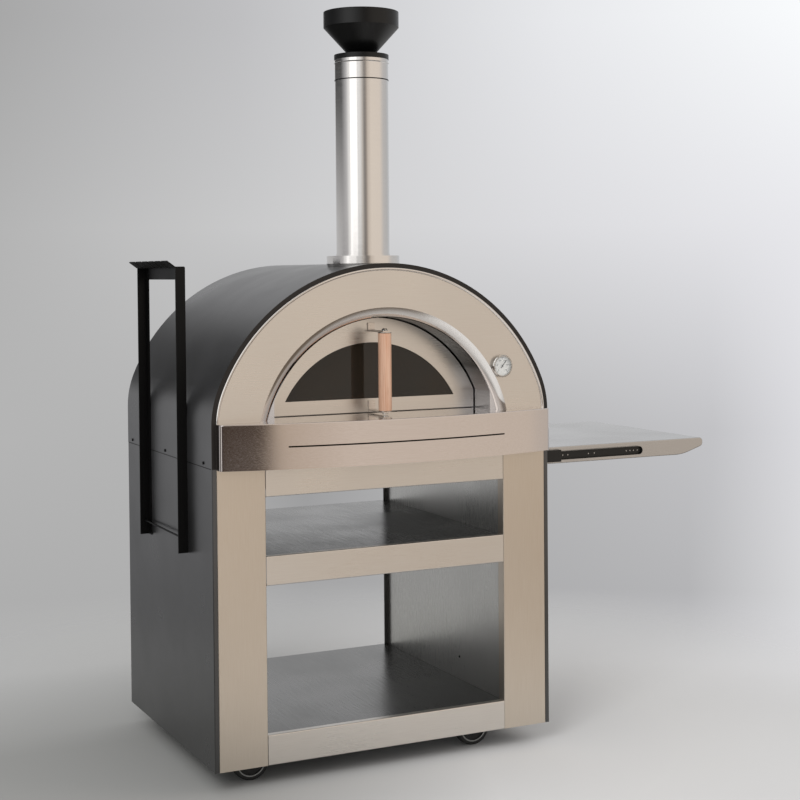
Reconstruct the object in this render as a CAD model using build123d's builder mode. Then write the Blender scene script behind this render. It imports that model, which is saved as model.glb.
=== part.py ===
from build123d import *
import math
import os

os.makedirs("parts", exist_ok=True)

# Wood fired pizza oven: an insulated arched oven on an open steel cabinet with castors.
# Millimetres. X runs to the right, Y to the back and Z up from the floor.
# The origin is on the floor under the middle of the cabinet.

# ---- Driving dimensions ----
# Sheet work
sheet = 1.5
fold_radius = 2.5
joint_gap = 0.5
body_gap = 0.3

# Cabinet
body_width = 1000
body_depth = 762
ground_gap = 60
edge_strip = 12
column_width = 134
column_return = 30
bottom_rail_height = 79
lower_bay_height = 391
middle_rail_height = 77
upper_bay_height = 155
top_rail_height = 80
rail_return = 20
short_return = 11
hem = 5
shelf_thickness = 2
back_column_reveal = 12
panel_flange = 20
flange_setback = 6
frame_height = 15
frame_tube_width = 70
pocket_height = 60

# Oven body
wall_rise = 108
haunch_radius = 250
crown_rise = 418
insulation_gap = 66
back_insulation = 61
vault_wall = 25
hearth_rise = 116
tile_thickness = 40
tile_columns = 3
tile_rows = 2
deck_thickness = 3

# Mouth, tunnel and door
mouth_margin = 148
mouth_drop = 86
ring_width = 25
ring_depth = 14
flare_bend = 0.57
tunnel_step = 2
tunnel_cheek = 30
flue_front_gap = 6
door_setback = 106
door_depth = 25
door_clearance = 3
door_lip = 12
lip_gap = 2
window_frame = 62.5
window_drop = 96.5
window_sill = 39
glass_thickness = 4
glass_overlap = 8

# Landing shelf
landing_height = 118
landing_bow = 70
landing_end = 33
landing_corner = 12

# Handle
grip_diameter = 36
handle_rise = 5
handle_margin = 14
grip_standoff = 88
grip_chamfer = 1.5
nut_height = 7
nut_diameter = 16
bolt_head_height = 3
washer_margin = 0.5
arm_width = 20
arm_thickness = 4
arm_foot = 24
arm_foot_margin = 6
handle_rod_diameter = 8

# Thermometer
dial_gap = 4.25
dial_rise = 121.5
bezel_diameter = 62
bezel_width = 4
bezel_depth = 12
probe_diameter = 8
probe_reach = 15
probe_slot = 16
spindle_diameter = 2
spindle_depth = 3
spindle_bore_depth = 4
running_clearance = 0.05
dial_thickness = 1
needle_thickness = 0.8
needle_width = 1.6
needle_boss = 5
needle_length = 20
needle_tail = 7
needle_angle = 50

# Chimney
flue_setback = 153
flue_bore_diameter = 90
flue_wall = 2
flue_top_gap = 4.5
pipe_diameter = 148
pipe_wall = 1.5
collar_diameter = 203
collar_neck_diameter = 190
collar_height = 21
collar_skirt = 24
collar_lip = 5
pipe_length = 541
seam_from_top = 55
bead_radius = 1.5
bead_from_top = 10
sleeve_lap = 0.5
cap_ring_height = 13.5
cap_ring_step = 3.5
cap_neck_reach = 12
cap_neck_diameter = 77
cap_cone_height = 72
cap_diameter = 208
cap_rim_height = 42
cap_wall = 2

# Tool rack
post_leg = 27
post_thickness = 3
post_foot_z = 598
rack_height = 765
rack_setback = 200
rack_width = 354
rod_rise = 40
strap_height = 35
prong_reach = 22
prong_lift = 16
prong_width = 48
prong_slot = 11
prong_count = 6
rack_rod_diameter = 5

# Side shelf and its slides
shelf_travel = 500
shelf_setback = 28
shelf_depth = 590
shelf_height = 48
shelf_drop = 3
shelf_overhang = 62
nose_run = 75
nose_depth = 24
nose_radius = 12
belly_radius = 150
shelf_inner_length = 185
slide_thickness = 12.7
slide_length = 500
slide_end_setback = 224
slide_middle_setback = 32
slide_outer_setback = 18
slide_member_height = 24
slide_race = 4.6
race_gap = 0.4
slide_steel = 1.2
slide_hole_diameter = 4.5
slide_hole_places = (13, 27, 39, 52, 163, 183, 253, 270)
slide_drop = 1
slot_margin = 2
slot_foot_gap = 3

# Castors
wheel_diameter = 100
wheel_width = 26
tyre_thickness = 10
castor_trail = 36
castor_side_inset = 165
castor_end_inset = 95
axle_diameter = 10
kingpin_diameter = 12
plate_size = 78
plate_thickness = 3
fork_thickness = 3
fork_leg_width = 26
fork_drop = 8
race_diameter = 44
hub_recess = 4
hub_margin = 7
axle_end = 2
tyre_shoulder = 3

# Fasteners
screw_diameter = 8
screw_head_height = 2.5
screw_shank_diameter = 4
seam_screw_rise = 11
seam_screw_front_margin = 66
seam_screw_back_margin = 49
seam_screw_middle_offset = 13
rack_bolt_rise = 22
rack_bolt_pitch = 193

# ---- Places worked out from them ----
half_width = body_width / 2
front_y = -body_depth / 2
back_y = body_depth / 2
panel_half = half_width - edge_strip
mouth_radius = half_width - mouth_margin
tunnel_radius = mouth_radius - tunnel_step
tunnel_half_width = mouth_radius - tunnel_cheek
window_radius = mouth_radius - window_frame
opening_half = panel_half - column_width
lower_shelf_z = ground_gap + bottom_rail_height
middle_rail_z = lower_shelf_z + lower_bay_height
middle_shelf_z = middle_rail_z + middle_rail_height
top_rail_z = middle_shelf_z + upper_bay_height
seam_z = top_rail_z + top_rail_height
pocket_z = seam_z - pocket_height
haunch_z = seam_z + wall_rise
crown_z = haunch_z + crown_rise
haunch_x = half_width - haunch_radius
crown_radius = (haunch_x**2 + crown_rise**2 - haunch_radius**2) / (2 * (crown_rise - haunch_radius))
arch_z = crown_z - crown_radius
arch_lean = math.degrees(math.atan2(haunch_z - arch_z, haunch_x))
hearth_z = seam_z + hearth_rise
mouth_z = hearth_z - mouth_drop
door_y = front_y + door_setback
lip_y = door_y + door_depth + joint_gap
flue_y = front_y + flue_setback
flue_radius = flue_bore_diameter / 2
pipe_radius = pipe_diameter / 2
vault_front_y = flue_y + flue_radius + flue_wall + flue_front_gap
vault_back_y = back_y - back_insulation
landing_z = hearth_z - landing_height
dial_z = hearth_z + dial_rise
ring_radius = mouth_radius + ring_width
dial_x = math.sqrt(ring_radius**2 - (dial_z - mouth_z) ** 2) + bezel_diameter / 2 + dial_gap
collar_z = crown_z + collar_height
pipe_top_z = collar_z + pipe_length
pipe_seam_z = pipe_top_z - seam_from_top
rack_top_z = post_foot_z + rack_height
rack_front_y = front_y + rack_setback
rack_back_y = rack_front_y + rack_width
shelf_z = seam_z - shelf_drop
shelf_front_y = front_y + shelf_setback
shelf_back_y = shelf_front_y + shelf_depth
shelf_end_x = half_width + shelf_travel + shelf_overhang
shelf_start_x = half_width - shelf_inner_length
slide_z = shelf_z - shelf_height / 2 - slide_drop
slide_end_x = shelf_end_x - slide_end_setback
wheel_radius = wheel_diameter / 2
castor_x = half_width - castor_side_inset
castor_y = back_y - castor_end_inset
castor_height = lower_shelf_z - shelf_thickness - frame_height
seam_screw_z = seam_z + seam_screw_rise
rack_bolt_heights = (post_foot_z + rack_bolt_rise, post_foot_z + rack_bolt_rise + rack_bolt_pitch)
rack_bolt_inset = (post_leg + post_thickness) / 2
rack_bolt_places = (rack_front_y + rack_bolt_inset, rack_back_y - rack_bolt_inset)
rack_bolt_spots = [(y, z) for y in rack_bolt_places for z in rack_bolt_heights]
seam_screw_front_y = front_y + seam_screw_front_margin
seam_screw_back_y = back_y - seam_screw_back_margin
seam_screw_places = (seam_screw_front_y, seam_screw_middle_offset, seam_screw_back_y)
seam_screw_spots = [(y, seam_screw_z) for y in seam_screw_places]
open_side = 2 * body_width


# ---- Helpers ----
def front(y):
    """Plane that faces the front at depth y, with X to its right and Z up."""
    return Plane.XZ.offset(-y)


def side(x):
    """Plane that faces right at x, with Y to its right and Z up."""
    return Plane.YZ.offset(x)


def level(z):
    """Level plane at height z."""
    return Plane.XY.offset(z)


def rect(x0, x1, y0, y1, mode=Mode.ADD):
    """Rectangle between its limits in the current sketch."""
    with Locations(((x0 + x1) / 2, (y0 + y1) / 2)):
        Rectangle(x1 - x0, y1 - y0, mode=mode)


def ring(outer, inner, center=(0, 0)):
    """Ring between two diameters in the current sketch."""
    with Locations(center):
        Circle(outer / 2)
        Circle(inner / 2, mode=Mode.SUBTRACT)


def cross_holes(places):
    """Shank holes along X at the given places in Y and Z, through the current part."""
    with BuildSketch(side(-open_side)) as holes:
        with Locations(*places):
            Circle(screw_shank_diameter / 2)
    extrude(holes.sketch, amount=2 * open_side, mode=Mode.SUBTRACT)


def folded(points, thickness=sheet, sign=1, radius=fold_radius):
    """Edges of a sheet folded through the points, with its thickness to the left of the path.

    With sign -1 the section is mirrored to the other side of the vertical axis.
    """
    with BuildLine() as path:
        FilletPolyline(*[(sign * x, y) for x, y in points], radius=radius)
        offset(amount=thickness, side=Side.LEFT if sign > 0 else Side.RIGHT)
    return path.line.edges()


def arch(inset, foot_z):
    """Edges of the oven's arched outline drawn in by inset and closed at height foot_z."""
    half = half_width - inset
    haunch = haunch_radius - inset
    with BuildLine() as outline:
        Line((-half, foot_z), (half, foot_z))
        Line((half, foot_z), (half, haunch_z))
        CenterArc((haunch_x, haunch_z), haunch, 0, arch_lean)
        CenterArc((0, arch_z), crown_radius - inset, arch_lean, 180 - 2 * arch_lean)
        CenterArc((-haunch_x, haunch_z), haunch, 180 - arch_lean, arch_lean)
        Line((-half, haunch_z), (-half, foot_z))
    return outline.line.edges()


def tunnel(inset, foot_z):
    """Edges of the tunnel's section drawn in by inset and closed at height foot_z."""
    half = tunnel_half_width - inset
    radius = tunnel_radius - inset
    spring_z = mouth_z + math.sqrt(radius**2 - half**2)
    start = math.degrees(math.acos(half / radius))
    with BuildLine() as outline:
        Line((-half, foot_z), (half, foot_z))
        Line((half, foot_z), (half, spring_z))
        CenterArc((0, mouth_z), radius, start, 180 - 2 * start)
        Line((-half, spring_z), (-half, foot_z))
    return outline.line.edges()


def cut_circle(radius, foot_z, center_z):
    """Edges of a circle cut off by a level chord at height foot_z."""
    start = math.degrees(math.asin((foot_z - center_z) / radius))
    half = radius * math.cos(math.radians(start))
    with BuildLine() as outline:
        Line((-half, foot_z), (half, foot_z))
        CenterArc((0, center_z), radius, start, 180 - 2 * start)
    return outline.line.edges()


# ---- Cabinet: sides, front, shelves and back ----
def side_panel(sign):
    """Side of the cabinet, folded in along all its edges."""
    section = [
        (panel_half, front_y),
        (half_width, front_y),
        (half_width, back_y),
        (half_width - panel_flange, back_y),
    ]
    inner = sign * (half_width - panel_flange)
    skin = sign * half_width
    with BuildPart() as panel:
        with BuildSketch(level(ground_gap)):
            make_face(folded(section, sign=sign))
        extrude(amount=seam_z - ground_gap)
        for z in (ground_gap, seam_z - sheet):
            with BuildSketch(level(z)):
                low, high = sorted((inner, skin))
                rect(low, high, front_y + edge_strip + joint_gap, back_y - 2 * sheet)
            extrude(amount=sheet)
    return panel.part


with BuildPart() as side_panel_left:
    add(side_panel(-1))
    cross_holes(rack_bolt_spots)
side_panel_left.part.label = "side_panel_left"
export_step(side_panel_left.part, "parts/side_panel_left.step")

slot_front_y = shelf_front_y - slide_thickness - slot_margin
slot_back_y = shelf_back_y + slide_thickness + slot_margin
slot_foot_z = shelf_z - shelf_height - slot_foot_gap

with BuildPart() as side_panel_right:
    add(side_panel(1))
    with BuildSketch(side(half_width - 2 * sheet)):
        rect(slot_front_y, slot_back_y, slot_foot_z, seam_z - sheet)
    extrude(amount=3 * sheet, mode=Mode.SUBTRACT)
side_panel_right.part.label = "side_panel_right"
export_step(side_panel_right.part, "parts/side_panel_right.step")


def front_column(sign):
    """Front column between the edge strip and the opening, cut back where the side shelf passes."""
    section = [
        (opening_half, front_y + column_return),
        (opening_half, front_y),
        (panel_half, front_y),
        (panel_half, front_y + short_return),
    ]
    with BuildPart() as column:
        with BuildSketch(level(ground_gap)):
            make_face(folded(section, sign=sign))
        extrude(amount=seam_z - ground_gap)
        with BuildSketch(level(pocket_z - sheet - joint_gap)):
            rect(-panel_half, panel_half, front_y + short_return, front_y + column_return)
        extrude(amount=pocket_height + 2 * sheet, mode=Mode.SUBTRACT)
        with BuildSketch(level(ground_gap)):
            cut_half = opening_half + fold_radius
            rect(-cut_half, cut_half, front_y + hem, front_y + column_return)
        extrude(amount=castor_height - ground_gap, mode=Mode.SUBTRACT)
    return column.part


with BuildPart() as front_column_left:
    add(front_column(-1))
front_column_left.part.label = "front_column_left"
export_step(front_column_left.part, "parts/front_column_left.step")

with BuildPart() as front_column_right:
    add(front_column(1))
front_column_right.part.label = "front_column_right"
export_step(front_column_right.part, "parts/front_column_right.step")


def rail(foot_z, height, reach, foot_reach):
    """Front rail between the columns, folded back by reach along its top and foot_reach below."""
    top_z = foot_z + height
    section = [
        (front_y + reach, top_z),
        (front_y, top_z),
        (front_y, foot_z),
        (front_y + foot_reach, foot_z),
    ]
    rail_half = opening_half - joint_gap
    with BuildPart() as bar:
        with BuildSketch(side(-rail_half)):
            make_face(folded(section))
        extrude(amount=2 * rail_half)
    return bar.part


with BuildPart() as bottom_rail:
    add(rail(ground_gap, bottom_rail_height, rail_return, hem))
bottom_rail.part.label = "bottom_rail"
export_step(bottom_rail.part, "parts/bottom_rail.step")

with BuildPart() as middle_rail:
    add(rail(middle_rail_z, middle_rail_height, rail_return, rail_return))
middle_rail.part.label = "middle_rail"
export_step(middle_rail.part, "parts/middle_rail.step")

with BuildPart() as top_rail:
    add(rail(top_rail_z, top_rail_height, short_return, short_return))
top_rail.part.label = "top_rail"
export_step(top_rail.part, "parts/top_rail.step")

wall_foot_z = lower_shelf_z - shelf_thickness


def inner_wall(sign):
    """Lining of one side of the bays, from the base frame to the pocket floor."""
    low, high = sorted((sign * opening_half, sign * (opening_half + sheet)))
    with BuildPart() as wall:
        with BuildSketch(level(wall_foot_z)):
            rect(low, high, front_y + column_return + joint_gap, back_y - sheet)
        extrude(amount=pocket_z - sheet - wall_foot_z)
    return wall.part


with BuildPart() as inner_wall_left:
    add(inner_wall(-1))
inner_wall_left.part.label = "inner_wall_left"
export_step(inner_wall_left.part, "parts/inner_wall_left.step")

with BuildPart() as inner_wall_right:
    add(inner_wall(1))
inner_wall_right.part.label = "inner_wall_right"
export_step(inner_wall_right.part, "parts/inner_wall_right.step")

with BuildPart() as back_columns:
    for sign in (-1, 1):
        reveal = opening_half - back_column_reveal
        section = [
            (half_width - panel_flange - joint_gap, back_y),
            (reveal, back_y),
            (reveal, back_y - hem),
        ]
        with BuildSketch(level(ground_gap + sheet)):
            make_face(folded(section, sign=sign))
        extrude(amount=seam_z - ground_gap - 2 * sheet)
back_columns.part.label = "back_columns"
export_step(back_columns.part, "parts/back_columns.step")


def shelf(top_z, thickness, side_folds):
    """Shelf behind a rail, notched for the back columns and folded down along its back."""
    half = opening_half - joint_gap
    back_half = half - back_column_reveal
    notch_y = back_y - hem - joint_gap
    start_y = front_y + rail_return + joint_gap
    with BuildPart() as plate:
        with BuildSketch(level(top_z)):
            rect(-half, half, start_y, notch_y)
            rect(-back_half, back_half, notch_y, back_y)
        extrude(amount=-thickness)
        with BuildSketch(level(top_z - thickness)):
            rect(-back_half, back_half, back_y - sheet, back_y)
            if side_folds:
                rect(-half, -half + sheet, start_y + rail_return, notch_y)
                rect(half - sheet, half, start_y + rail_return, notch_y)
        extrude(amount=-panel_flange)
    return plate.part


with BuildPart() as lower_shelf:
    add(shelf(lower_shelf_z, shelf_thickness, side_folds=False))
lower_shelf.part.label = "lower_shelf"
export_step(lower_shelf.part, "parts/lower_shelf.step")

with BuildPart() as middle_shelf:
    add(shelf(middle_shelf_z, sheet, side_folds=True))
middle_shelf.part.label = "middle_shelf"
export_step(middle_shelf.part, "parts/middle_shelf.step")

with BuildPart() as base_frame:
    frame_half = half_width - sheet
    frame_y = back_y - column_return - joint_gap
    with BuildSketch(level(castor_height)) as frame_plan:
        for y in (-castor_y, castor_y):
            rect(-frame_half, frame_half, y - frame_tube_width / 2, y + frame_tube_width / 2)
        for x in (-castor_x, castor_x):
            rect(x - frame_tube_width / 2, x + frame_tube_width / 2, -frame_y, frame_y)
    extrude(amount=frame_height)
    with BuildSketch(level(castor_height)):
        add(frame_plan.sketch_local)
        offset(amount=-2 * sheet, mode=Mode.REPLACE)
    extrude(amount=frame_height - 2 * sheet, mode=Mode.SUBTRACT)
base_frame.part.label = "base_frame"
export_step(base_frame.part, "parts/base_frame.step")

with BuildPart() as pocket_floor:
    with BuildSketch(level(pocket_z)):
        pocket_front_y = front_y + edge_strip + joint_gap
        rect(-half_width + sheet, half_width - sheet, pocket_front_y, back_y - hem - joint_gap)
    extrude(amount=-sheet)
pocket_floor.part.label = "pocket_floor"
export_step(pocket_floor.part, "parts/pocket_floor.step")

deck_half = half_width - sheet
flange_front_y = front_y + edge_strip + flange_setback

with BuildPart() as deck_plate:
    with BuildSketch(level(seam_z)):
        rect(-deck_half, deck_half, front_y + sheet, back_y - sheet)
    extrude(amount=deck_thickness)
    with BuildSketch(level(seam_z)):
        rect(-deck_half, -deck_half + sheet, flange_front_y, back_y - sheet)
        rect(deck_half - sheet, deck_half, flange_front_y, back_y - sheet)
    extrude(amount=panel_flange)
    cross_holes(seam_screw_spots)
deck_plate.part.label = "deck_plate"
export_step(deck_plate.part, "parts/deck_plate.step")

# ---- Oven body: skins, mouth and lining ----
with BuildPart() as dome_cover:
    with BuildSketch(front(front_y + sheet)):
        make_face(arch(0, seam_z))
        make_face(arch(sheet, seam_z), mode=Mode.SUBTRACT)
    extrude(amount=-(body_depth - sheet))
    with BuildSketch(level(haunch_z)):
        with Locations((0, flue_y)):
            Circle(pipe_radius - pipe_wall)
    extrude(amount=crown_rise + sheet, mode=Mode.SUBTRACT)
    cross_holes(seam_screw_spots)
dome_cover.part.label = "dome_cover"
export_step(dome_cover.part, "parts/dome_cover.step")

with BuildPart() as dome_trim:
    with BuildSketch(front(front_y)):
        make_face(arch(0, seam_z))
        make_face(arch(edge_strip, seam_z), mode=Mode.SUBTRACT)
    extrude(amount=-sheet)
    with BuildSketch(front(front_y + sheet)):
        make_face(arch(sheet, seam_z + deck_thickness))
        make_face(arch(2 * sheet, seam_z + deck_thickness), mode=Mode.SUBTRACT)
    extrude(amount=-edge_strip)
dome_trim.part.label = "dome_trim"
export_step(dome_trim.part, "parts/dome_trim.step")

with BuildPart() as back_panel:
    with BuildSketch(front(back_y)):
        make_face(arch(sheet, seam_z))
    extrude(amount=sheet)
back_panel.part.label = "back_panel"
export_step(back_panel.part, "parts/back_panel.step")

with BuildPart() as arch_front:
    with BuildSketch(front(front_y)):
        make_face(arch(edge_strip, seam_z))
        make_face(cut_circle(ring_radius, hearth_z - sheet, mouth_z), mode=Mode.SUBTRACT)
        with Locations((dial_x, dial_z)):
            Circle(probe_diameter / 2 + joint_gap, mode=Mode.SUBTRACT)
    extrude(amount=-sheet)
arch_front.part.label = "arch_front"
export_step(arch_front.part, "parts/arch_front.step")

tunnel_front_y = front_y + ring_depth

with BuildPart() as mouth_ring:
    springing = Plane((0, 0, mouth_z), x_dir=(0, 1, 0), z_dir=(0, 0, -1))
    with BuildSketch(springing):
        with BuildLine():
            faces = ((ring_depth, ring_width, 0), (ring_depth - sheet, ring_width - sheet, sheet))
            for depth, width, inset in faces:
                ThreePointArc(
                    (front_y + inset, ring_radius),
                    (tunnel_front_y - depth * flare_bend, ring_radius - width * flare_bend),
                    (tunnel_front_y, ring_radius - width),
                )
            Line((front_y, ring_radius), (front_y + sheet, ring_radius))
            Line((tunnel_front_y, mouth_radius), (tunnel_front_y, mouth_radius + sheet))
        make_face()
    revolve(axis=Axis((0, 0, mouth_z), (0, -1, 0)), revolution_arc=180)
    with BuildSketch(level(mouth_z)):
        rect(-half_width, half_width, front_y - ring_depth, front_y + 2 * ring_depth)
    extrude(amount=mouth_drop, mode=Mode.SUBTRACT)
mouth_ring.part.label = "mouth_ring"
export_step(mouth_ring.part, "parts/mouth_ring.step")

tunnel_y = tunnel_front_y + joint_gap
tunnel_length = vault_front_y - tunnel_y

with BuildPart() as mouth_liner:
    with BuildSketch(front(tunnel_y)):
        make_face(tunnel(-sheet, hearth_z))
        make_face(tunnel(0, hearth_z), mode=Mode.SUBTRACT)
    extrude(amount=-tunnel_length)
    with BuildSketch(front(tunnel_y)):
        make_face(cut_circle(mouth_radius + sheet, hearth_z, mouth_z))
        make_face(tunnel(0, hearth_z), mode=Mode.SUBTRACT)
    extrude(amount=-sheet)
    with BuildSketch(front(lip_y)):
        make_face(tunnel(0, hearth_z))
        make_face(tunnel(door_lip, hearth_z), mode=Mode.SUBTRACT)
    extrude(amount=-sheet)
    with BuildSketch(level(haunch_z)):
        with Locations((0, flue_y)):
            Circle(flue_radius)
    extrude(amount=crown_rise, mode=Mode.SUBTRACT)
mouth_liner.part.label = "mouth_liner"
export_step(mouth_liner.part, "parts/mouth_liner.step")

vault_inner = insulation_gap + vault_wall
tile_z = hearth_z - tile_thickness

with BuildPart() as inner_vault:
    with BuildSketch(front(vault_front_y)):
        make_face(arch(insulation_gap, tile_z))
    extrude(amount=-(vault_back_y - vault_front_y))
    with BuildSketch(front(vault_front_y + vault_wall)):
        make_face(arch(vault_inner, tile_z))
    extrude(amount=-(vault_back_y - vault_front_y - 2 * vault_wall), mode=Mode.SUBTRACT)
    with BuildSketch(front(vault_front_y)):
        make_face(tunnel(0, tile_z))
    extrude(amount=-vault_wall, mode=Mode.SUBTRACT)
    with BuildSketch(front(vault_front_y)):
        with Locations((dial_x - probe_slot / 2, dial_z)):
            SlotCenterToCenter(probe_slot, probe_diameter + 2 * joint_gap)
    extrude(amount=-vault_wall - probe_reach - joint_gap, mode=Mode.SUBTRACT)
inner_vault.part.label = "inner_vault"
export_step(inner_vault.part, "parts/inner_vault.step")

with BuildPart() as dome_insulation:
    with BuildSketch(front(tunnel_y + 2 * sheet)):
        make_face(arch(2 * sheet, tile_z))
    extrude(amount=-(back_y - sheet - tunnel_y - 2 * sheet))
    with BuildSketch(front(vault_front_y)):
        make_face(arch(insulation_gap, tile_z))
    extrude(amount=-(vault_back_y - vault_front_y), mode=Mode.SUBTRACT)
    with BuildSketch(front(tunnel_y)):
        make_face(tunnel(-sheet - joint_gap, tile_z))
        with Locations((dial_x, dial_z)):
            Circle(probe_diameter / 2 + joint_gap)
    extrude(amount=-tunnel_length, mode=Mode.SUBTRACT)
    with BuildSketch(level(haunch_z)):
        with Locations((0, flue_y)):
            Circle(flue_radius + flue_wall)
    extrude(amount=crown_rise, mode=Mode.SUBTRACT)
dome_insulation.part.label = "dome_insulation"
export_step(dome_insulation.part, "parts/dome_insulation.step")

with BuildPart() as floor_insulation:
    with BuildSketch(level(seam_z + deck_thickness)):
        rect(-deck_half + 2 * sheet, deck_half - 2 * sheet, flange_front_y, back_y - sheet)
    extrude(amount=tile_z - seam_z - deck_thickness)
floor_insulation.part.label = "floor_insulation"
export_step(floor_insulation.part, "parts/floor_insulation.step")

tongue_y = lip_y + sheet
tongue_half = tunnel_half_width - lip_gap
chamber_half = half_width - vault_inner
chamber_back_y = vault_back_y - vault_wall

with BuildPart() as floor_tiles:
    with BuildSketch(level(tile_z)):
        rect(-tongue_half, tongue_half, tongue_y + joint_gap, vault_front_y + vault_wall)
        tile_width = 2 * chamber_half / tile_columns
        tile_depth = (chamber_back_y - vault_front_y - vault_wall) / tile_rows
        with Locations((0, (chamber_back_y + vault_front_y + vault_wall) / 2)):
            with GridLocations(tile_width, tile_depth, tile_columns, tile_rows):
                Rectangle(tile_width - 2 * joint_gap, tile_depth - 2 * joint_gap)
    extrude(amount=tile_thickness)
floor_tiles.part.label = "floor_tiles"
export_step(floor_tiles.part, "parts/floor_tiles.step")

# The landing shelf is the bow-fronted folded tray that carries the ledge into the mouth.
end_y = front_y - landing_end
bow_y = end_y - landing_bow
sill_half = math.sqrt(ring_radius**2 - mouth_drop**2)

with BuildPart() as landing_shelf:
    with BuildSketch(level(landing_z)) as landing_plan:
        with BuildLine():
            Line((-panel_half, end_y), (-panel_half, front_y))
            Line((-panel_half, front_y), (panel_half, front_y))
            Line((panel_half, front_y), (panel_half, end_y))
            ThreePointArc((panel_half, end_y), (0, bow_y), (-panel_half, end_y))
        make_face()
        fillet(landing_plan.vertices().group_by(Axis.Y)[0], landing_corner)
    extrude(amount=landing_height)
    fillet(landing_shelf.edges().group_by(Axis.Z)[-1].sort_by(Axis.Y)[:-1], fold_radius)
    with BuildSketch(level(landing_z)):
        add(landing_plan.sketch_local)
        offset(amount=-sheet, mode=Mode.REPLACE)
        rect(-panel_half + sheet, panel_half - sheet, end_y + landing_corner, front_y)
    extrude(amount=landing_height - sheet, mode=Mode.SUBTRACT)
    with BuildSketch(level(hearth_z - sheet)):
        rect(-tongue_half, tongue_half, front_y, tongue_y)
        rect(-sill_half, sill_half, front_y, tunnel_y + sheet)
    extrude(amount=sheet)
landing_shelf.part.label = "landing_shelf"
export_step(landing_shelf.part, "parts/landing_shelf.step")

# ---- Door ----
door_foot_z = hearth_z + lip_gap
window_z = hearth_z - window_drop
sill_z = hearth_z + window_sill
door_back_y = door_y + door_depth


def window(inset=0):
    """Edges of the window, drawn in by inset."""
    return cut_circle(window_radius - inset, sill_z + inset, window_z)


with BuildPart() as door_front:
    with BuildSketch(front(door_y)):
        make_face(tunnel(door_clearance, door_foot_z))
    extrude(amount=-(door_depth - sheet))
    with BuildSketch(front(door_y + sheet)):
        make_face(tunnel(door_clearance + sheet, door_foot_z + sheet))
    extrude(amount=-door_depth, mode=Mode.SUBTRACT)
    with BuildSketch(front(door_y)):
        make_face(window())
    extrude(amount=-sheet, mode=Mode.SUBTRACT)
door_front.part.label = "door_front"
export_step(door_front.part, "parts/door_front.step")

with BuildPart() as door_back:
    with BuildSketch(front(door_back_y)):
        make_face(tunnel(door_clearance, hearth_z + body_gap))
        make_face(window(), mode=Mode.SUBTRACT)
    extrude(amount=sheet)
    with BuildSketch(front(door_back_y - sheet)):
        make_face(window(-glass_overlap))
        make_face(window(), mode=Mode.SUBTRACT)
    extrude(amount=door_depth - 2 * sheet - glass_thickness)
door_back.part.label = "door_back"
export_step(door_back.part, "parts/door_back.step")

with BuildPart() as door_glass:
    with BuildSketch(front(door_y + sheet)):
        make_face(window(-glass_overlap))
    extrude(amount=-glass_thickness)
door_glass.part.label = "door_glass"
export_step(door_glass.part, "parts/door_glass.step")

grip_y = door_y - grip_standoff
lower_arm_z = hearth_z + handle_rise
grip_foot_z = lower_arm_z + arm_thickness + sheet
door_top_z = mouth_z + tunnel_radius - door_clearance
grip_top_z = door_top_z - handle_margin - arm_foot - sheet
grip_length = grip_top_z - grip_foot_z
upper_arm_z = grip_top_z + sheet
grip_radius = grip_diameter / 2
arm_tip_y = grip_y - arm_width / 2

with BuildPart() as handle_grip:
    with BuildSketch(level(grip_foot_z)):
        ring(grip_diameter, handle_rod_diameter, (0, grip_y))
    extrude(amount=grip_length)
    chamfer(handle_grip.edges().filter_by(GeomType.CIRCLE).sort_by(SortBy.RADIUS)[-2:], grip_chamfer)
handle_grip.part.label = "handle_grip"
export_step(handle_grip.part, "parts/handle_grip.step")

with BuildPart() as handle_bracket:
    arm_radius = arm_thickness + 1
    lower_arm = [(arm_tip_y, lower_arm_z), (door_y, lower_arm_z), (door_y, sill_z - arm_foot_margin)]
    upper_arm = [(arm_tip_y, upper_arm_z), (door_y, upper_arm_z), (door_y, upper_arm_z + arm_foot)]
    with BuildSketch(side(-arm_width / 2)):
        make_face(folded(lower_arm, arm_thickness, radius=arm_radius))
        make_face(folded(upper_arm, arm_thickness, radius=arm_radius))
    extrude(amount=arm_width)
    with BuildSketch(level(hearth_z)):
        with Locations((0, grip_y)):
            Circle(handle_rod_diameter / 2)
    extrude(amount=grip_length + 2 * arm_foot, mode=Mode.SUBTRACT)
handle_bracket.part.label = "handle_bracket"
export_step(handle_bracket.part, "parts/handle_bracket.step")

with BuildPart() as handle_rod:
    with BuildSketch(level(lower_arm_z - bolt_head_height)):
        with Locations((0, grip_y)):
            Circle(nut_diameter / 2)
    extrude(amount=bolt_head_height)
    with BuildSketch(level(lower_arm_z)):
        with Locations((0, grip_y)):
            Circle(handle_rod_diameter / 2)
    extrude(amount=upper_arm_z + arm_thickness - lower_arm_z)
    for z in (grip_foot_z - sheet, grip_top_z):
        with BuildSketch(level(z)):
            with Locations((0, grip_y)):
                Circle(grip_radius + washer_margin)
        extrude(amount=sheet)
    with BuildSketch(level(upper_arm_z + arm_thickness)):
        with Locations((0, grip_y)):
            Circle(nut_diameter / 2)
    extrude(amount=nut_height)
    chamfer(handle_rod.faces().sort_by(Axis.Z)[-1].edges(), nut_height / 2)
handle_rod.part.label = "handle_rod"
export_step(handle_rod.part, "parts/handle_rod.step")

# ---- Thermometer ----
case_y = front_y - bezel_depth
dial_y = front_y - bezel_depth / 2
bezel_bore = bezel_diameter - 2 * bezel_width
probe_length = vault_front_y + vault_wall + probe_reach - front_y

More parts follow.
